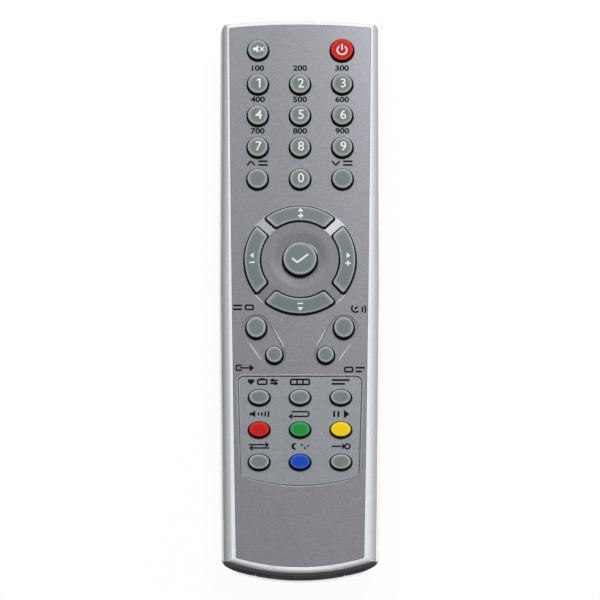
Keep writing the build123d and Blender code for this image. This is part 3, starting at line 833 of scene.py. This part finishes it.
@dataclass
class RingKey(Key):
    """A quarter of the direction ring, its top part of a cone that rises towards the middle."""

    quarter: int = 0
    ring_centre: Point = (0.0, HUB_Y)
    inner: float = 13.54 * MM
    outer: float = 18.76 * MM
    gap: float = 3.88 * MM
    corner: float = 0.9 * MM
    least_corner: float = 0.25 * MM
    inner_rise: float = 0.7 * MM
    dome: float = 0.12 * MM
    shoulder: float = 0.45 * MM
    across_steps: int = 18
    along_steps: int = 30
    # how tightly the painted highlight hugs the top's edges and ends
    glow: int = 3
    end_glow: int = 14

    def reach(self, radius: float, inset: float) -> float:
        """Half the angle that the quarter spans at a radius, with its corners rounded.

        Args:
            radius: Distance from the ring's centre.
            inset: How far the outline is drawn in.

        Returns:
            The half angle in degrees.
        """
        corner = max(self.corner - inset, self.least_corner)
        low, high = self.inner + inset + corner, self.outer - inset - corner
        past = max(radius - high, low - radius, 0.0)
        cut = corner - math.sqrt(max(corner * corner - past * past, 0.0))
        return 45 - math.degrees(math.asin((self.gap / 2 + inset + cut) / radius))

    def grid(self, inset: float) -> list[list[Point]]:
        """Rows of points that cover the quarter, denser at the rounded corners.

        Args:
            inset: How far the outline is drawn in.

        Returns:
            One row of points for each radius, from the inner edge to the outer edge.
        """
        low, high, middle = self.inner + inset, self.outer - inset, 90 * self.quarter
        rows = []
        for turn in spread(0.0, math.pi, self.across_steps):
            radius = low + (high - low) * (0.5 - 0.5 * math.cos(turn))
            reach = self.reach(radius, inset)
            turns = spread(middle - reach, middle + reach, self.along_steps)
            rows.append(on_circle(self.ring_centre, radius, turns))
        return rows

    def outline(self, inset: float) -> list[Point]:
        """The quarter's outline, drawn in by an inset in metres."""
        first, *rows, last = self.grid(inset)
        return first + [row[-1] for row in rows] + last[::-1] + [row[0] for row in reversed(rows)]

    def top_at(self, x: float, y: float) -> float:
        """Finds how high the conical, slightly crowned top stands over a point.

        Args:
            x: The point's place across.
            y: The point's place along.

        Returns:
            The height.
        """
        radius = math.hypot(x - self.ring_centre[0], y - self.ring_centre[1])
        share = min(max((radius - self.inner) / (self.outer - self.inner), 0.0), 1.0)
        return self.top_z - self.inner_rise * share - self.dome * (2 * share - 1) ** 2

    def close_top(self, rim_row: Row) -> None:
        """Closes the top with a grid of quads, with a painted highlight along its edges and ends.

        Args:
            rim_row: The shoulder's last row.
        """
        spots = self.grid(self.shoulder)
        wide, last = self.along_steps, len(spots) - 1
        rows = [rim_row[: wide + 1]]
        for index, spot_row in enumerate(spots[1:-1], 1):
            # painted highlight: paler towards the inner and outer edges and the ends
            share = abs(2 * index / last - 1) ** self.glow
            made = self.row(spot_row[1:-1], [self.top_at(x, y) for x, y in spot_row[1:-1]])
            for number, vert in enumerate(made, 1):
                vert[self.rim] = max(share, abs(2 * number / wide - 1) ** self.end_glow)
            rows.append([rim_row[-index], *made, rim_row[wide + index]])
        rows.append(rim_row[wide + last : 2 * wide + last + 1][::-1])
        for lower, upper in zip(rows, rows[1:]):
            self.quads(lower, upper)


@dataclass
class Lip(Moulding):
    """A low rounded bead along an edge of the face panel."""

    name: str
    path: list[Point]
    base_z: float
    width: float = 0.36 * MM
    rise: float = 0.1 * MM
    root: float = 0.06 * MM
    ribs: int = 6

    def __post_init__(self) -> None:
        """Starts the mesh."""
        super().__init__()

    def swell(self, share: float) -> float:
        """How full the bead is along its length, running out at both ends."""
        return max(math.sin(math.pi * share), 0.0) ** 0.5 + 0.02

    def build(self, material: Material) -> None:
        """Makes the bead.

        Args:
            material: Its material.
        """
        rows, last = [], len(self.path) - 1
        turns, foot_z = spread(0.0, math.pi, self.ribs), self.base_z - self.root
        for index, spot in enumerate(self.path):
            full = self.swell(index / last)
            before, after = self.path[max(index - 1, 0)], self.path[min(index + 1, last)]
            side = sideways(before, after, full * self.width / 2)
            points = [tuple(Vector(spot) + side * math.cos(turn)) for turn in turns]
            heights = [self.base_z + self.rise * full * math.sin(turn) for turn in turns]
            rows.append(self.row([*points, points[-1], points[0]], [*heights, foot_z, foot_z]))
        self.skin(rows)
        self.mesh.faces.new(rows[0])
        self.mesh.faces.new(rows[-1][::-1])
        self.piece(self.name, material, "housing", Finish.PANEL)


# ---- printed marks


@dataclass
class Mark:
    """A generic printed sign made of closed outlines, in millimetres about its own middle."""

    outlines: list[list[Point]] = field(default_factory=list)

    def poly(self, *points: Point) -> "Mark":
        """Adds a closed outline."""
        self.outlines.append(list(points))
        return self

    def bar(self, start: Point, end: Point, width: float) -> "Mark":
        """Adds a straight stroke.

        Args:
            start: Where it starts.
            end: Where it ends.
            width: Its width.

        Returns:
            The mark.
        """
        side = sideways(start, end, width / 2)
        low, high = Vector(start), Vector(end)
        corners = (low - side, high - side, high + side, low + side)
        return self.poly(*(tuple(corner) for corner in corners))

    def rows(self, gap: float, width: float, *ends: Point) -> "Mark":
        """Adds two level strokes, the upper one first.

        Args:
            gap: How far apart they lie.
            width: Their width.
            *ends: Where each starts and ends across.

        Returns:
            The mark.
        """
        for (start, end), level in zip(ends, (gap / 2, -gap / 2)):
            self.bar((start, level), (end, level), width)
        return self

    def path(self, width: float, *points: Point) -> "Mark":
        """Adds a stroke from each point to the next.

        Args:
            width: The strokes' width.
            *points: The points.

        Returns:
            The mark.
        """
        for start, end in zip(points, points[1:]):
            self.bar(start, end, width)
        return self

    def disc(self, centre: Point, radius: float) -> "Mark":
        """Adds a filled disc."""
        return self.poly(*on_circle(centre, radius, range(0, 360, 18)))

    def arc(self, centre: Point, radius: float, width: float, start: float, end: float) -> "Mark":
        """Adds a curved stroke.

        Args:
            centre: Middle of the curve.
            radius: Its radius at the stroke's middle.
            width: The stroke's width.
            start: First angle in degrees.
            end: Last angle in degrees, above the first.

        Returns:
            The mark.
        """
        if end - start > 180:
            middle = (start + end) / 2
            self.arc(centre, radius, width, start, middle)
            return self.arc(centre, radius, width, middle, end)
        turns = spread(start, end, max(4, int((end - start) / 12)))
        inner, outer = (on_circle(centre, radius + side * width / 2, turns) for side in (-1, 1))
        return self.poly(*inner, *reversed(outer))

    def frame(
        self, across: float, along: float, width: float, centre: Point = (0.0, 0.0)
    ) -> "Mark":
        """Adds the four strokes of a rectangle.

        Args:
            across: How wide it is.
            along: How tall it is.
            width: The strokes' width.
            centre: Its middle.

        Returns:
            The mark.
        """
        corners = ((-1, -1), (1, -1), (1, 1), (-1, 1), (-1, -1))
        spots = ((centre[0] + a * across / 2, centre[1] + b * along / 2) for a, b in corners)
        return self.path(width, *spots)

    def arrow(self, tip: Point, turn: float, size: float) -> "Mark":
        """Adds a filled triangle.

        Args:
            tip: Its tip.
            turn: Where it points, in degrees.
            size: How long it is.

        Returns:
            The mark.
        """
        foot = on_circle(tip, size, [turn + 180])[0]
        side = sideways(foot, tip, 0.8 * size)
        return self.poly(tip, tuple(Vector(foot) + side), tuple(Vector(foot) - side))

    def at(self, x: float, y: float) -> "Mark":
        """A copy of the mark that is moved."""
        return Mark([[(x + px, y + py) for px, py in outline] for outline in self.outlines])


@dataclass
class Printer:
    """Lays marks and digits on a body as thin films of ink."""

    ink: Material
    body: str
    finish: Finish
    tall: float = 0.0
    bold: float = 0.0
    wide: float = 1.0
    stand: float = 0.035 * MM
    layer: float = 0.002 * MM
    sink: float = 0.06 * MM

    def film(self, name: str, mark: Mark, centre: Point, height: Height) -> None:
        """Makes a film of ink that follows a surface.

        Args:
            name: The piece's name.
            mark: What it shows.
            centre: Where the mark's middle lies, in metres.
            height: The surface's height over a point.
        """
        moulding = Moulding()
        for number, outline in enumerate(mark.outlines):
            spots = [(centre[0] + x * MM, centre[1] + y * MM) for x, y in outline]
            surface, lift = [height(x, y) for x, y in spots], self.stand + number * self.layer
            lower = moulding.row(spots, [z - self.sink for z in surface])
            upper = moulding.row(spots, [z + lift for z in surface])
            moulding.skin((lower, upper))
            moulding.mesh.faces.new(upper)
            moulding.mesh.faces.new(lower[::-1])
        moulding.piece(name, self.ink, self.body, self.finish, sharp=0.0)

    def digits(self, name: str, text: str, centre: Point, height: Height) -> None:
        """Prints plain digits, as tall, bold and wide as the printer is set to.

        Args:
            name: The piece's name.
            text: The digits.
            centre: Where their middle lies.
            height: The surface's height over a point.
        """
        curve = bpy.data.curves.new(name, "FONT")
        curve.body, curve.size, curve.offset = text, 1.0, self.bold
        curve.extrude, curve.resolution_u = 0.01, 4
        source = link(name, curve)
        bpy.context.view_layer.update()
        data = bpy.data.meshes.new_from_object(source)
        bpy.data.objects.remove(source)
        bpy.data.curves.remove(curve)
        moulding = Moulding()
        verts = moulding.mesh.verts
        moulding.mesh.from_mesh(data)
        bpy.data.meshes.remove(data)
        bmesh.ops.remove_doubles(moulding.mesh, verts=verts, dist=1e-5)
        across, along = ([vert.co[axis] for vert in verts] for axis in (0, 1))
        scale = self.tall / (max(along) - min(along))
        middle = ((min(across) + max(across)) / 2, (min(along) + max(along)) / 2)
        for vert in verts:
            x = centre[0] + (vert.co.x - middle[0]) * scale * self.wide
            y = centre[1] + (vert.co.y - middle[1]) * scale
            vert.co = (x, y, height(x, y) + (self.stand if vert.co.z > 0 else -self.sink))
        moulding.piece(name, self.ink, self.body, self.finish, sharp=0.0)


# ---- sub-assemblies


# Each key's silicone: its middle colour, a paler rim colour that is a painted highlight, and a
# nearly black side colour that is painted shade.
SILICONES = {
    Finish.GREY_KEY: ((0.165, 0.195, 0.195), (0.34, 0.38, 0.37), (0.006, 0.008, 0.008)),
    Finish.RED_KEY: ((0.46, 0.012, 0.010), (0.62, 0.03, 0.026), (0.04, 0.001, 0.001)),
    Finish.GREEN_KEY: ((0.018, 0.23, 0.045), (0.05, 0.32, 0.10), (0.002, 0.016, 0.005)),
    Finish.YELLOW_KEY: ((0.80, 0.56, 0.008), (0.86, 0.66, 0.03), (0.06, 0.02, 0.002)),
    Finish.BLUE_KEY: ((0.008, 0.06, 0.42), (0.04, 0.12, 0.5), (0.001, 0.004, 0.03)),
}
COLOURED = {
    "power": Finish.RED_KEY,
    "audio": Finish.RED_KEY,
    "recall": Finish.GREEN_KEY,
    "pause": Finish.YELLOW_KEY,
    "sleep": Finish.BLUE_KEY,
}


@dataclass
class Keypad:
    """The keys of the silicone keypad, with what is printed on them."""

    white_ink: Material
    digit_height: float = 3.3 * MM
    digit_bold: float = 0.008
    digit_shift: Point = (0.35, 0.25)
    keys: dict[str, Key] = field(default_factory=dict)
    plain: str = (
        "0 1 2 3 4 5 6 7 8 9 mute power page_up page_down menu satellite exit info "
        "favourite guide text audio recall pause source sleep aux"
    )
    ring: str = "volume_up channel_up volume_down channel_down"

    def mould_keys(self) -> None:
        """Builds every key."""
        grey, plain = Finish.GREY_KEY, self.plain.split()
        made = [Key(f"key_{name}", COLOURED.get(name, grey)) for name in plain]
        # the OK key's painted rim highlight hugs its edge more tightly
        made.append(Key("key_ok", grey, dome=0.16 * MM, points=80, glow=12))
        for quarter, name in enumerate(self.ring.split()):
            made.append(RingKey(f"key_{name}", grey, quarter=quarter))
        materials = {
            finish: Silicone(finish.value.replace("key", "silicone"), *tints).build()
            for finish, tints in SILICONES.items()
        }
        for key in made:
            key.build(materials[key.finish])
            self.keys[key.node] = key

    def print_mark(
        self, node: str, mark: Mark, shift: Point = (0.0, 0.0), about: Optional[Point] = None
    ) -> None:
        """Prints a mark on a key.

        Args:
            node: The key's node.
            mark: The mark.
            shift: Its place from the key's middle, in millimetres.
            about: The middle to use, where it isn't the key's own.
        """
        key = self.keys[node]
        x, y = about or key.centre
        centre = (x + shift[0] * MM, y + shift[1] * MM)
        Printer(self.white_ink, node, key.finish).film(f"{node}_mark", mark, centre, key.top_at)

    def print_digits(self) -> None:
        """Prints the digits."""
        one = Mark().bar((0.3, -1.65), (0.3, 1.65), 0.55).bar((-0.75, 0.95), (0.3, 1.4), 0.5)
        for key in list(self.keys.values())[:10]:
            if key.node == "key_1":
                self.print_mark(key.node, one, self.digit_shift)
                continue
            centre = tuple(Vector(key.centre) + Vector(self.digit_shift) * MM)
            look = (self.digit_height, self.digit_bold)
            printer = Printer(self.white_ink, key.node, key.finish, *look)
            printer.digits(f"{key.node}_digit", key.node[-1], centre, key.top_at)

    def print_signs(self) -> None:
        """Prints the mute, power, tick and direction signs."""
        power = Mark().arc((0, -0.15), 1.62, 0.5, 125, 415).bar((0, -0.1), (0, 2.0), 0.5)
        self.print_mark("key_power", power)
        mute = Mark().poly((-1.95, -0.5), (-1.2, -0.5), (-1.2, 0.5), (-1.95, 0.5))
        mute.poly((-1.2, -0.5), (-0.1, -1.4), (-0.1, 1.4), (-1.2, 0.5))
        mute.bar((0.45, 0.75), (1.95, -0.75), 0.38).bar((0.45, -0.75), (1.95, 0.75), 0.38)
        self.print_mark("key_mute", mute, (0.2, 0.2))
        tick = Mark().bar((-2.7, 0.1), (-0.9, -1.35), 0.62).bar((-1.05, -1.4), (2.8, 1.5), 0.62)
        self.print_mark("key_ok", tick)
        minus, upright = ((-0.9, 0), (0.9, 0)), ((0, -0.9), (0, 0.9))
        ring_marks = (
            ("key_channel_up", 90.0, (0.2, 18.0), (minus, upright), (0.2, 15.2)),
            ("key_channel_down", -90.0, (0.1, -17.9), (minus,), (0.1, -15.4)),
            ("key_volume_up", 0.0, (17.0, 1.35), (minus, upright), (16.2, -1.35)),
            ("key_volume_down", 180.0, (-16.9, 1.35), (minus,), (-16.2, -1.1)),
        )
        for node, turn, tip, strokes, place in ring_marks:
            sign = Mark()
            for start, end in strokes:
                sign.bar(start, end, 0.48)
            self.print_mark(node, sign.at(*place).arrow(tip, turn, 1.25), about=RingKey.ring_centre)


@dataclass
class PanelPrint:
    """The black signs printed on the face panel beside its keys."""

    ink: Material
    over_number: float = 6.1 * MM
    over_function: float = 5.45 * MM
    preset_height: float = 2.05 * MM
    preset_bold: float = 0.03
    preset_wide: float = 1.2
    stroke: float = 0.5

    def function_signs(self) -> dict[str, Mark]:
        """The signs over the function keys.

        Returns:
            The signs by the name of their key.
        """
        line = self.stroke
        heart = Mark().disc((-3.3, 0.35), 0.62).disc((-2.3, 0.35), 0.62)
        heart.poly((-3.85, 0.1), (-2.8, -1.0), (-1.75, 0.1)).frame(3.0, 1.6, 0.55, (1.0, 0.0))
        heart.bar((0.4, 1.2), (1.0, 0.8), line).bar((1.6, 1.2), (1.0, 0.8), line)
        heart.bar((3.6, -0.5), (6.2, -0.5), 0.55).bar((3.6, 0.55), (6.2, 0.55), 0.55)
        heart.disc((4.4, 0.55), 0.6).disc((5.4, -0.5), 0.6)
        guide = Mark().frame(6.2, 1.7, 0.6)
        guide.bar((-1.0, -0.9), (-1.0, 0.9), 0.55).bar((1.0, -0.9), (1.0, 0.9), 0.55)
        audio = Mark().poly((-3.2, -0.45), (-2.4, -0.45), (-2.4, 0.45), (-3.2, 0.45))
        audio.poly((-2.4, -0.45), (-1.3, -1.1), (-1.3, 1.1), (-2.4, 0.45))
        for number in range(4):
            across, reach = -0.2 + 1.1 * number, 0.4 + 0.2 * number
            audio.bar((across, -reach), (across, reach), 0.55)
        recall = Mark().arc((2.2, 0), 0.8, line, -92, 92).bar((2.3, -0.8), (-2.4, -0.8), line)
        pause = Mark().bar((-2.2, -1.0), (-2.2, 1.0), 0.7)
        source = Mark().bar((-3.4, 0.55), (2.0, 0.55), line).arrow((3.4, 0.55), 0, 1.3)
        stars = Mark().disc((0.6, 0.5), 0.36).disc((2.7, 0.2), 0.32)
        moon = on_circle((-1.7, 0.0), 1.15, range(50, 311, 20))
        moon += on_circle((-1.125, 0.0), 0.897, range(262, 97, -20))
        aux = Mark().arc((2.2, 0), 0.85, line, -180, 180).bar((-3.0, 0), (0.2, 0), line)
        return {
            "favourite": heart,
            "guide": guide,
            "text": Mark().rows(1.3, 0.65, (-3.0, 3.0), (-3.0, 1.4)),
            "audio": audio,
            "recall": recall.arrow((-3.9, -0.8), 180, 1.3).bar((2.3, 0.8), (-2.8, 0.8), line),
            "pause": pause.bar((-0.8, -1.0), (-0.8, 1.0), 0.7).arrow((2.9, 0), 0, 1.9),
            "source": source.bar((3.4, -0.55), (-2.0, -0.55), line).arrow((-3.4, -0.55), 180, 1.3),
            "sleep": stars.disc((1.7, -0.6), 0.36).poly(*moon),
            "aux": aux.arrow((1.7, 0), 0, 1.3),
        }

    def side_signs(self) -> dict[str, Mark]:
        """The signs beside the slanting pairs and over the page keys, about the middle of the body.

        Returns:
            The signs by the name of their key.
        """
        line = self.stroke
        menu = Mark().bar((-3.4, 0.7), (-0.4, 0.7), 0.62).bar((-3.4, -0.6), (-0.4, -0.6), 0.62)
        dish = Mark().arc((-1.0, 0.4), 1.3, 0.6, 135, 315).disc((-1.0, 0.4), 0.42)
        dish.bar((-1.0, 0.4), (-0.1, 1.1), 0.42).arc((0.2, 0.0), 1.2, 0.52, -45, 52)
        dish.arc((0.2, 0.0), 2.2, 0.52, -32, 38)
        leave = Mark().bar((-2.9, 1.0), (-2.9, -1.0), line)
        leave.rows(1.7, line, (-2.9, -1.0), (-2.9, -1.0))
        leave.bar((-1.8, 0), (1.6, 0), line).arrow((3.1, 0), 0, 1.6)
        info = Mark().frame(2.6, 1.5, 0.55, (-2.0, 0.0)).rows(1.3, 0.62, (0.3, 3.4), (0.3, 2.4))
        up = Mark().path(0.55, (-3.6, -0.8), (-2.3, 0.8), (-1.0, -0.8))
        down = Mark().path(0.55, (-3.6, 0.8), (-2.3, -0.8), (-1.0, 0.8))
        return {
            "menu": menu.frame(2.6, 1.5, 0.55, (2.05, 0.05)).at(-19.1, -6.3),
            "satellite": dish.at(19.7, -7.0),
            "exit": leave.at(-18.4, -27.1),
            "info": info.at(18.3, -27.7),
            "page_up": up.rows(1.3, 0.62, (0.2, 3.4), (0.2, 3.4)).at(-14.4, 44.4),
            "page_down": down.rows(1.3, 0.62, (0.2, 3.4), (0.2, 3.4)).at(14.5, 44.4),
        }

    def build(self) -> None:
        """Prints every sign."""
        preset = (self.preset_height, self.preset_bold, self.preset_wide)
        printer = Printer(self.ink, "housing", Finish.PANEL, *preset)
        for name, mark in self.side_signs().items():
            printer.film(f"{name}_sign", mark, (0.0, 0.0), lambda x, y: FACE_Z)
        for name, mark in self.function_signs().items():
            centre = middle_of(f"key_{name}", self.over_function)
            printer.film(f"{name}_sign", mark, centre, lambda x, y: FIELD_Z)
        for digit in range(1, 10):
            centre = middle_of(f"key_{digit}", self.over_number)
            printer.digits(f"preset_{digit}_sign", f"{digit}00", centre, lambda x, y: FACE_Z)


@dataclass
class Trim:
    """The thin raised beads on the edges of the face panel, tinted pale as painted highlights, and
    dark strips laid in its grooves as painted shade.
    """

    # bright and soft: pale bead tints that are painted highlights on raised beads
    bright: Material
    soft: Material
    # dark: a nearly black tint for strips that are painted shade in the grooves
    dark: Material
    field_half: float = 20.6 * MM
    field_low_half: float = 19.4 * MM
    field_top_y: float = -30.1 * MM
    field_side: float = 33.5 * MM
    field_low_y: float = -66.9 * MM
    field_corner: float = 1.9 * MM
    low_radius: float = 58.7 * MM
    hub_hole: float = 6.35 * MM
    dish_z: float = 20.4 * MM
    mound_rise: float = 0.05 * MM
    outside: float = 0.55 * MM
    inside: float = 0.22 * MM
    groove: float = 0.34 * MM
    low_rise: float = 0.07 * MM

    def line(self, start: Point, end: Point) -> list[Point]:
        """Points along a straight line that is given in millimetres, in metres."""
        return list(zip(*(spread(low * MM, high * MM, 12) for low, high in zip(start, end))))

    def curve(
        self, middle_y: float, radius: float, middle: float, reach: float, steps: int = 16
    ) -> list[Point]:
        """Points along an arc about the middle line, by its middle and half its span in degrees."""
        return on_circle((0.0, middle_y), radius, spread(middle - reach, middle + reach, steps))

    def field_edge(self, out: float, reach: float) -> list[Point]:
        """The path along the top of the field and down both of its sides.

        Args:
            out: How far it lies outside the field's foot.
            reach: Share of the sides that it runs down.

        Returns:
            The path's points in metres.
        """
        half, top, radius = self.field_half + out, self.field_top_y + out, self.field_corner + out
        low_x = half - (self.field_half - self.field_low_half) * reach
        low_y = self.field_top_y - self.field_side * reach
        right = on_circle((half - radius, top - radius), radius, range(90, -1, -9))
        right += list(zip(spread(half, low_x, 16), spread(top - radius, low_y, 16)))[1:]
        crossing = [(x, top) for x in spread(radius - half, half - radius, 24)[1:-1]]
        return [(-x, y) for x, y in reversed(right)] + crossing + right

    def build(self) -> None:
        """Makes every bead, the dark ones as painted shade and the pale ones as painted highlights.
        """
        groove_z, low_y = (FACE_Z + FIELD_Z) / 2, self.field_low_y + self.low_radius
        # painted shade: dark strips along the field's groove and its lower edge
        groove = self.field_edge(self.groove / 2, 1.0)
        Lip("field_groove_shade", groove, groove_z, self.groove, rise=0.06 * MM).build(self.dark)
        low_groove = self.curve(low_y, self.low_radius + self.groove / 2, 270, 18.5)
        Lip("field_low_groove_shade", low_groove, groove_z, self.groove, rise=0.08 * MM).build(self.dark)
        # painted highlight: a pale bead along the field's lower edge
        low_lip = self.curve(low_y, self.low_radius + self.outside, 270, 18)
        Lip("field_low_lip", low_lip, FACE_Z, rise=self.low_rise).build(self.soft)
        # painted highlight: pale beads at the tips of the lower spokes
        for name, middle in (("left", 225), ("right", 315)):
            tip = self.curve(HUB_Y, MOUND_RADIUS, middle, 7, 8)
            Lip(f"{name}_spoke_lip", tip, FACE_Z + self.mound_rise).build(self.bright)
        # painted highlight: pale beads along the field's outer and inner edges
        outer = self.field_edge(self.outside, 0.95)
        Lip("field_outer_lip", outer, FACE_Z, rise=self.low_rise).build(self.soft)
        inner = self.field_edge(-self.inside, 0.55)
        Lip("field_inner_lip", inner, FIELD_Z, width=0.3 * MM).build(self.soft)
        # painted highlight: a pale bead on the hub hole's edge
        hub = self.curve(HUB_Y, self.hub_hole, 42, 24)
        Lip("hub_hole_lip", hub, self.dish_z).build(self.bright)
        # painted highlight: pale beads along the slanting pairs' edges
        for name, side in (("left", -1), ("right", 1)):
            inner = self.line((side * 8.75, -13.8), (side * 5.15, -20.3))
            Lip(f"{name}_pair_inner_lip", inner, FACE_Z).build(self.bright)
            outer = self.line((side * 17.25, -18.4), (side * 12.7, -25.0))
            Lip(f"{name}_pair_outer_lip", outer, FACE_Z).build(self.bright)


@dataclass
class Housing:
    """The rigid pieces that keep their solids and get their finishes."""

    nodes: dict[str, Piece]

    def dress(self, recipe: Any, *names: str) -> None:
        """Gives nodes a finish.

        Args:
            recipe: The finish.
            *names: The nodes.
        """
        material = recipe.build()
        for name in names:
            for slot in self.nodes[name].material_slots:
                slot.material = material
            LOG.info("%s: %s", name, material.name)

    def build(self) -> None:
        """Dresses every solid that shows."""
        self.dress(ShellPaint("silver_paint", (0.655, 0.675, 0.69), specular=0.02), "upper_case")
        grey = (0.165, 0.166, 0.185)
        panel = PanelPaint("grey_metallic_paint", grey, 0.2, 0.35, roughness=0.36, specular=0.5)
        self.dress(panel, "face_panel")
        dark = GrainedPlastic("black_abs", (0.012, 0.012, 0.014), roughness=0.65, specular=0.03)
        self.dress(dark, "lower_case", "battery_door")
        mat = GrainedPlastic("black_silicone", (0.02, 0.02, 0.022), roughness=0.7)
        self.dress(mat, "keypad_mat")
        board = BoardLaminate("solder_mask", (0.02, 0.13, 0.05), (0.05, 0.24, 0.10))
        self.dress(board, "circuit_board")
        self.dress(TintedPlastic("infrared_window", (0.012, 0.003, 0.005), 0.1), "ir_window")
        self.dress(TintedPlastic("diode_resin", (0.35, 0.4, 0.5), 0.7), "ir_led")
        plate = PlatedMetal("nickel_plate", (0.75, 0.73, 0.68))
        self.dress(plate, "contact_bridge", "contact_positive", "contact_negative")
        self.dress(PlatedMetal("zinc_plate", (0.6, 0.61, 0.64)), "screw_left", "screw_right")
        can = PlatedMetal("bare_can", (0.78, 0.78, 0.8), 0.22)
        self.dress(can, "crystal_resonator", "capacitor")
        chip = GrainedPlastic("chip_resin", (0.018, 0.018, 0.02), roughness=0.6)
        self.dress(chip, "control_chip", "drive_transistor")
        lacquer = GrainedPlastic("resistor_lacquer", (0.55, 0.4, 0.22), roughness=0.3)
        self.dress(lacquer, "resistor_1", "resistor_2", "resistor_3")
        for name, toward in (("battery_left", 1), ("battery_right", -1)):
            self.dress(CellSleeve(f"{name}_sleeve", name, toward), name)


# ---- studio


class Surroundings(Nodes):
    """The nodes of the world."""

    kind = "worlds"


@dataclass(frozen=True)
class Lamp:
    """A square soft lamp that faces the object, with its side in metres and its power in watts."""

    name: str
    place: Place
    size: float
    power: float

    def build(self) -> None:
        """Adds the lamp."""
        lamp = bpy.data.lights.new(self.name, "AREA")
        lamp.size, lamp.energy = self.size, self.power
        made = link(self.name, lamp)
        made.location = self.place
        made.rotation_euler = Vector(self.place).to_track_quat("Z", "Y").to_euler()


@dataclass
class Studio:
    """A pale floor under soft light, and the camera."""

    floor_half: float = 3.0
    floor_z: float = -0.02 * MM
    floor_seen: Colour = (0.98, 0.98, 0.98)
    floor_bounce: Colour = (0.2, 0.2, 0.2)
    floor_glow: float = 0.96
    contact: float = 1.2 * MM
    ambient: float = 0.1
    lamps: tuple[Lamp, ...] = (
        Lamp("right_light", (0.31, 0.63, 0.96), 0.25, 8.0),
        Lamp("left_light", (-0.41, 0.67, 0.91), 0.25, 4.3),
        Lamp("side_light", (0.95, 0.1, 0.55), 0.3, 1.7),
        Lamp("front_light", (0.1, -0.5, 1.0), 0.3, 2.5),
    )
    target: Place = (0.0, -1.7 * MM, 12.0 * MM)
    elevation: float = 76.0
    distance: float = 0.95
    lens: float = 167.8

    def build_floor(self) -> None:
        """Adds the floor: white from above but for the object's shadow, and clear from below."""
        half = self.floor_half
        data = bpy.data.meshes.new("floor")
        corners = ((-half, -half), (half, -half), (half, half), (-half, half))
        data.from_pydata([(*corner, self.floor_z) for corner in corners], [], [(0, 1, 2, 3)])
        nodes = Nodes("floor_white")
        seen = nodes.seen()
        occlusion = nodes.add("AmbientOcclusion", {"Distance": self.contact}, samples=8)
        open_sky = nodes.calc("MULTIPLY", occlusion.outputs["AO"], self.floor_glow)
        glow = nodes.calc("MULTIPLY", seen, open_sky)
        white = nodes.add("Emission", {"Color": WHITE, "Strength": 1.0}).outputs[0]
        top = nodes.add("MixShader", {0: glow, 1: nodes.shader.outputs[0], 2: white}).outputs[0]
        below = nodes.add("NewGeometry").outputs["Backfacing"]
        clear = nodes.add("BsdfTransparent").outputs[0]
        sides = nodes.add("MixShader", {0: below, 1: top, 2: clear}).outputs[0]
        nodes.put(nodes.output.inputs["Surface"], sides)
        colour = nodes.blend(seen, self.floor_bounce, self.floor_seen)
        nodes.surface(Base_Color=colour, Roughness=0.9, Specular_IOR_Level=0.1)
        data.materials.append(nodes.owner)
        link("floor", data)

    def build_world(self) -> None:
        """Adds the surroundings: soft fill light, and white to look at."""
        nodes = Surroundings("surroundings")
        strength = nodes.span(nodes.seen(), 0.0, 1.0, self.ambient, 1.0)
        bpy.context.scene.world = nodes.surface(Color=WHITE, Strength=strength)

    def build_camera(self) -> None:
        """Adds the camera."""
        camera = bpy.data.cameras.new("camera")
        camera.lens, camera.sensor_width, camera.clip_start = self.lens, 36.0, 0.01
        made = link("camera", camera)
        tilt = math.radians(self.elevation)
        away = Vector((0.0, -math.cos(tilt), math.sin(tilt)))
        made.location = Vector(self.target) + away * self.distance
        made.rotation_mode = "QUATERNION"
        made.rotation_quaternion = away.to_track_quat("Z", "Y")
        bpy.context.scene.camera = made

    def build(self) -> None:
        """Sets up the whole studio."""
        self.build_floor()
        self.build_world()
        for lamp in self.lamps:
            lamp.build()
        self.build_camera()
        bpy.context.scene.view_settings.view_transform = "Standard"
        LOG.info("studio: floor, surroundings, lamps and camera")


def main() -> None:
    """Builds the remote control's looks around its frame."""
    logging.basicConfig(level=logging.INFO, format="%(name)s: %(message)s")
    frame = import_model()
    Housing(frame["nodes"]).build()
    keypad = Keypad(Ink("white_ink", (0.76, 0.78, 0.78), (0.62, 0.65, 0.65)).build())
    keypad.mould_keys()
    keypad.print_digits()
    keypad.print_signs()
    PanelPrint(Ink("black_ink", (0.004, 0.004, 0.005), (0.012, 0.012, 0.014)).build()).build()
    # painted highlights: pale tints for the beads; painted shade: a nearly black tint for the
    # strips in the grooves
    bright = FlakePaint("bright_bead", (0.62, 0.63, 0.66))
    soft = FlakePaint("soft_bead", (0.4, 0.41, 0.43))
    groove = FlakePaint("groove_shade", (0.035, 0.035, 0.04), roughness=0.6, specular=0.05)
    Trim(bright.build(), soft.build(), groove.build()).build()
    Studio().build()


if __name__ == "__main__":
    main()
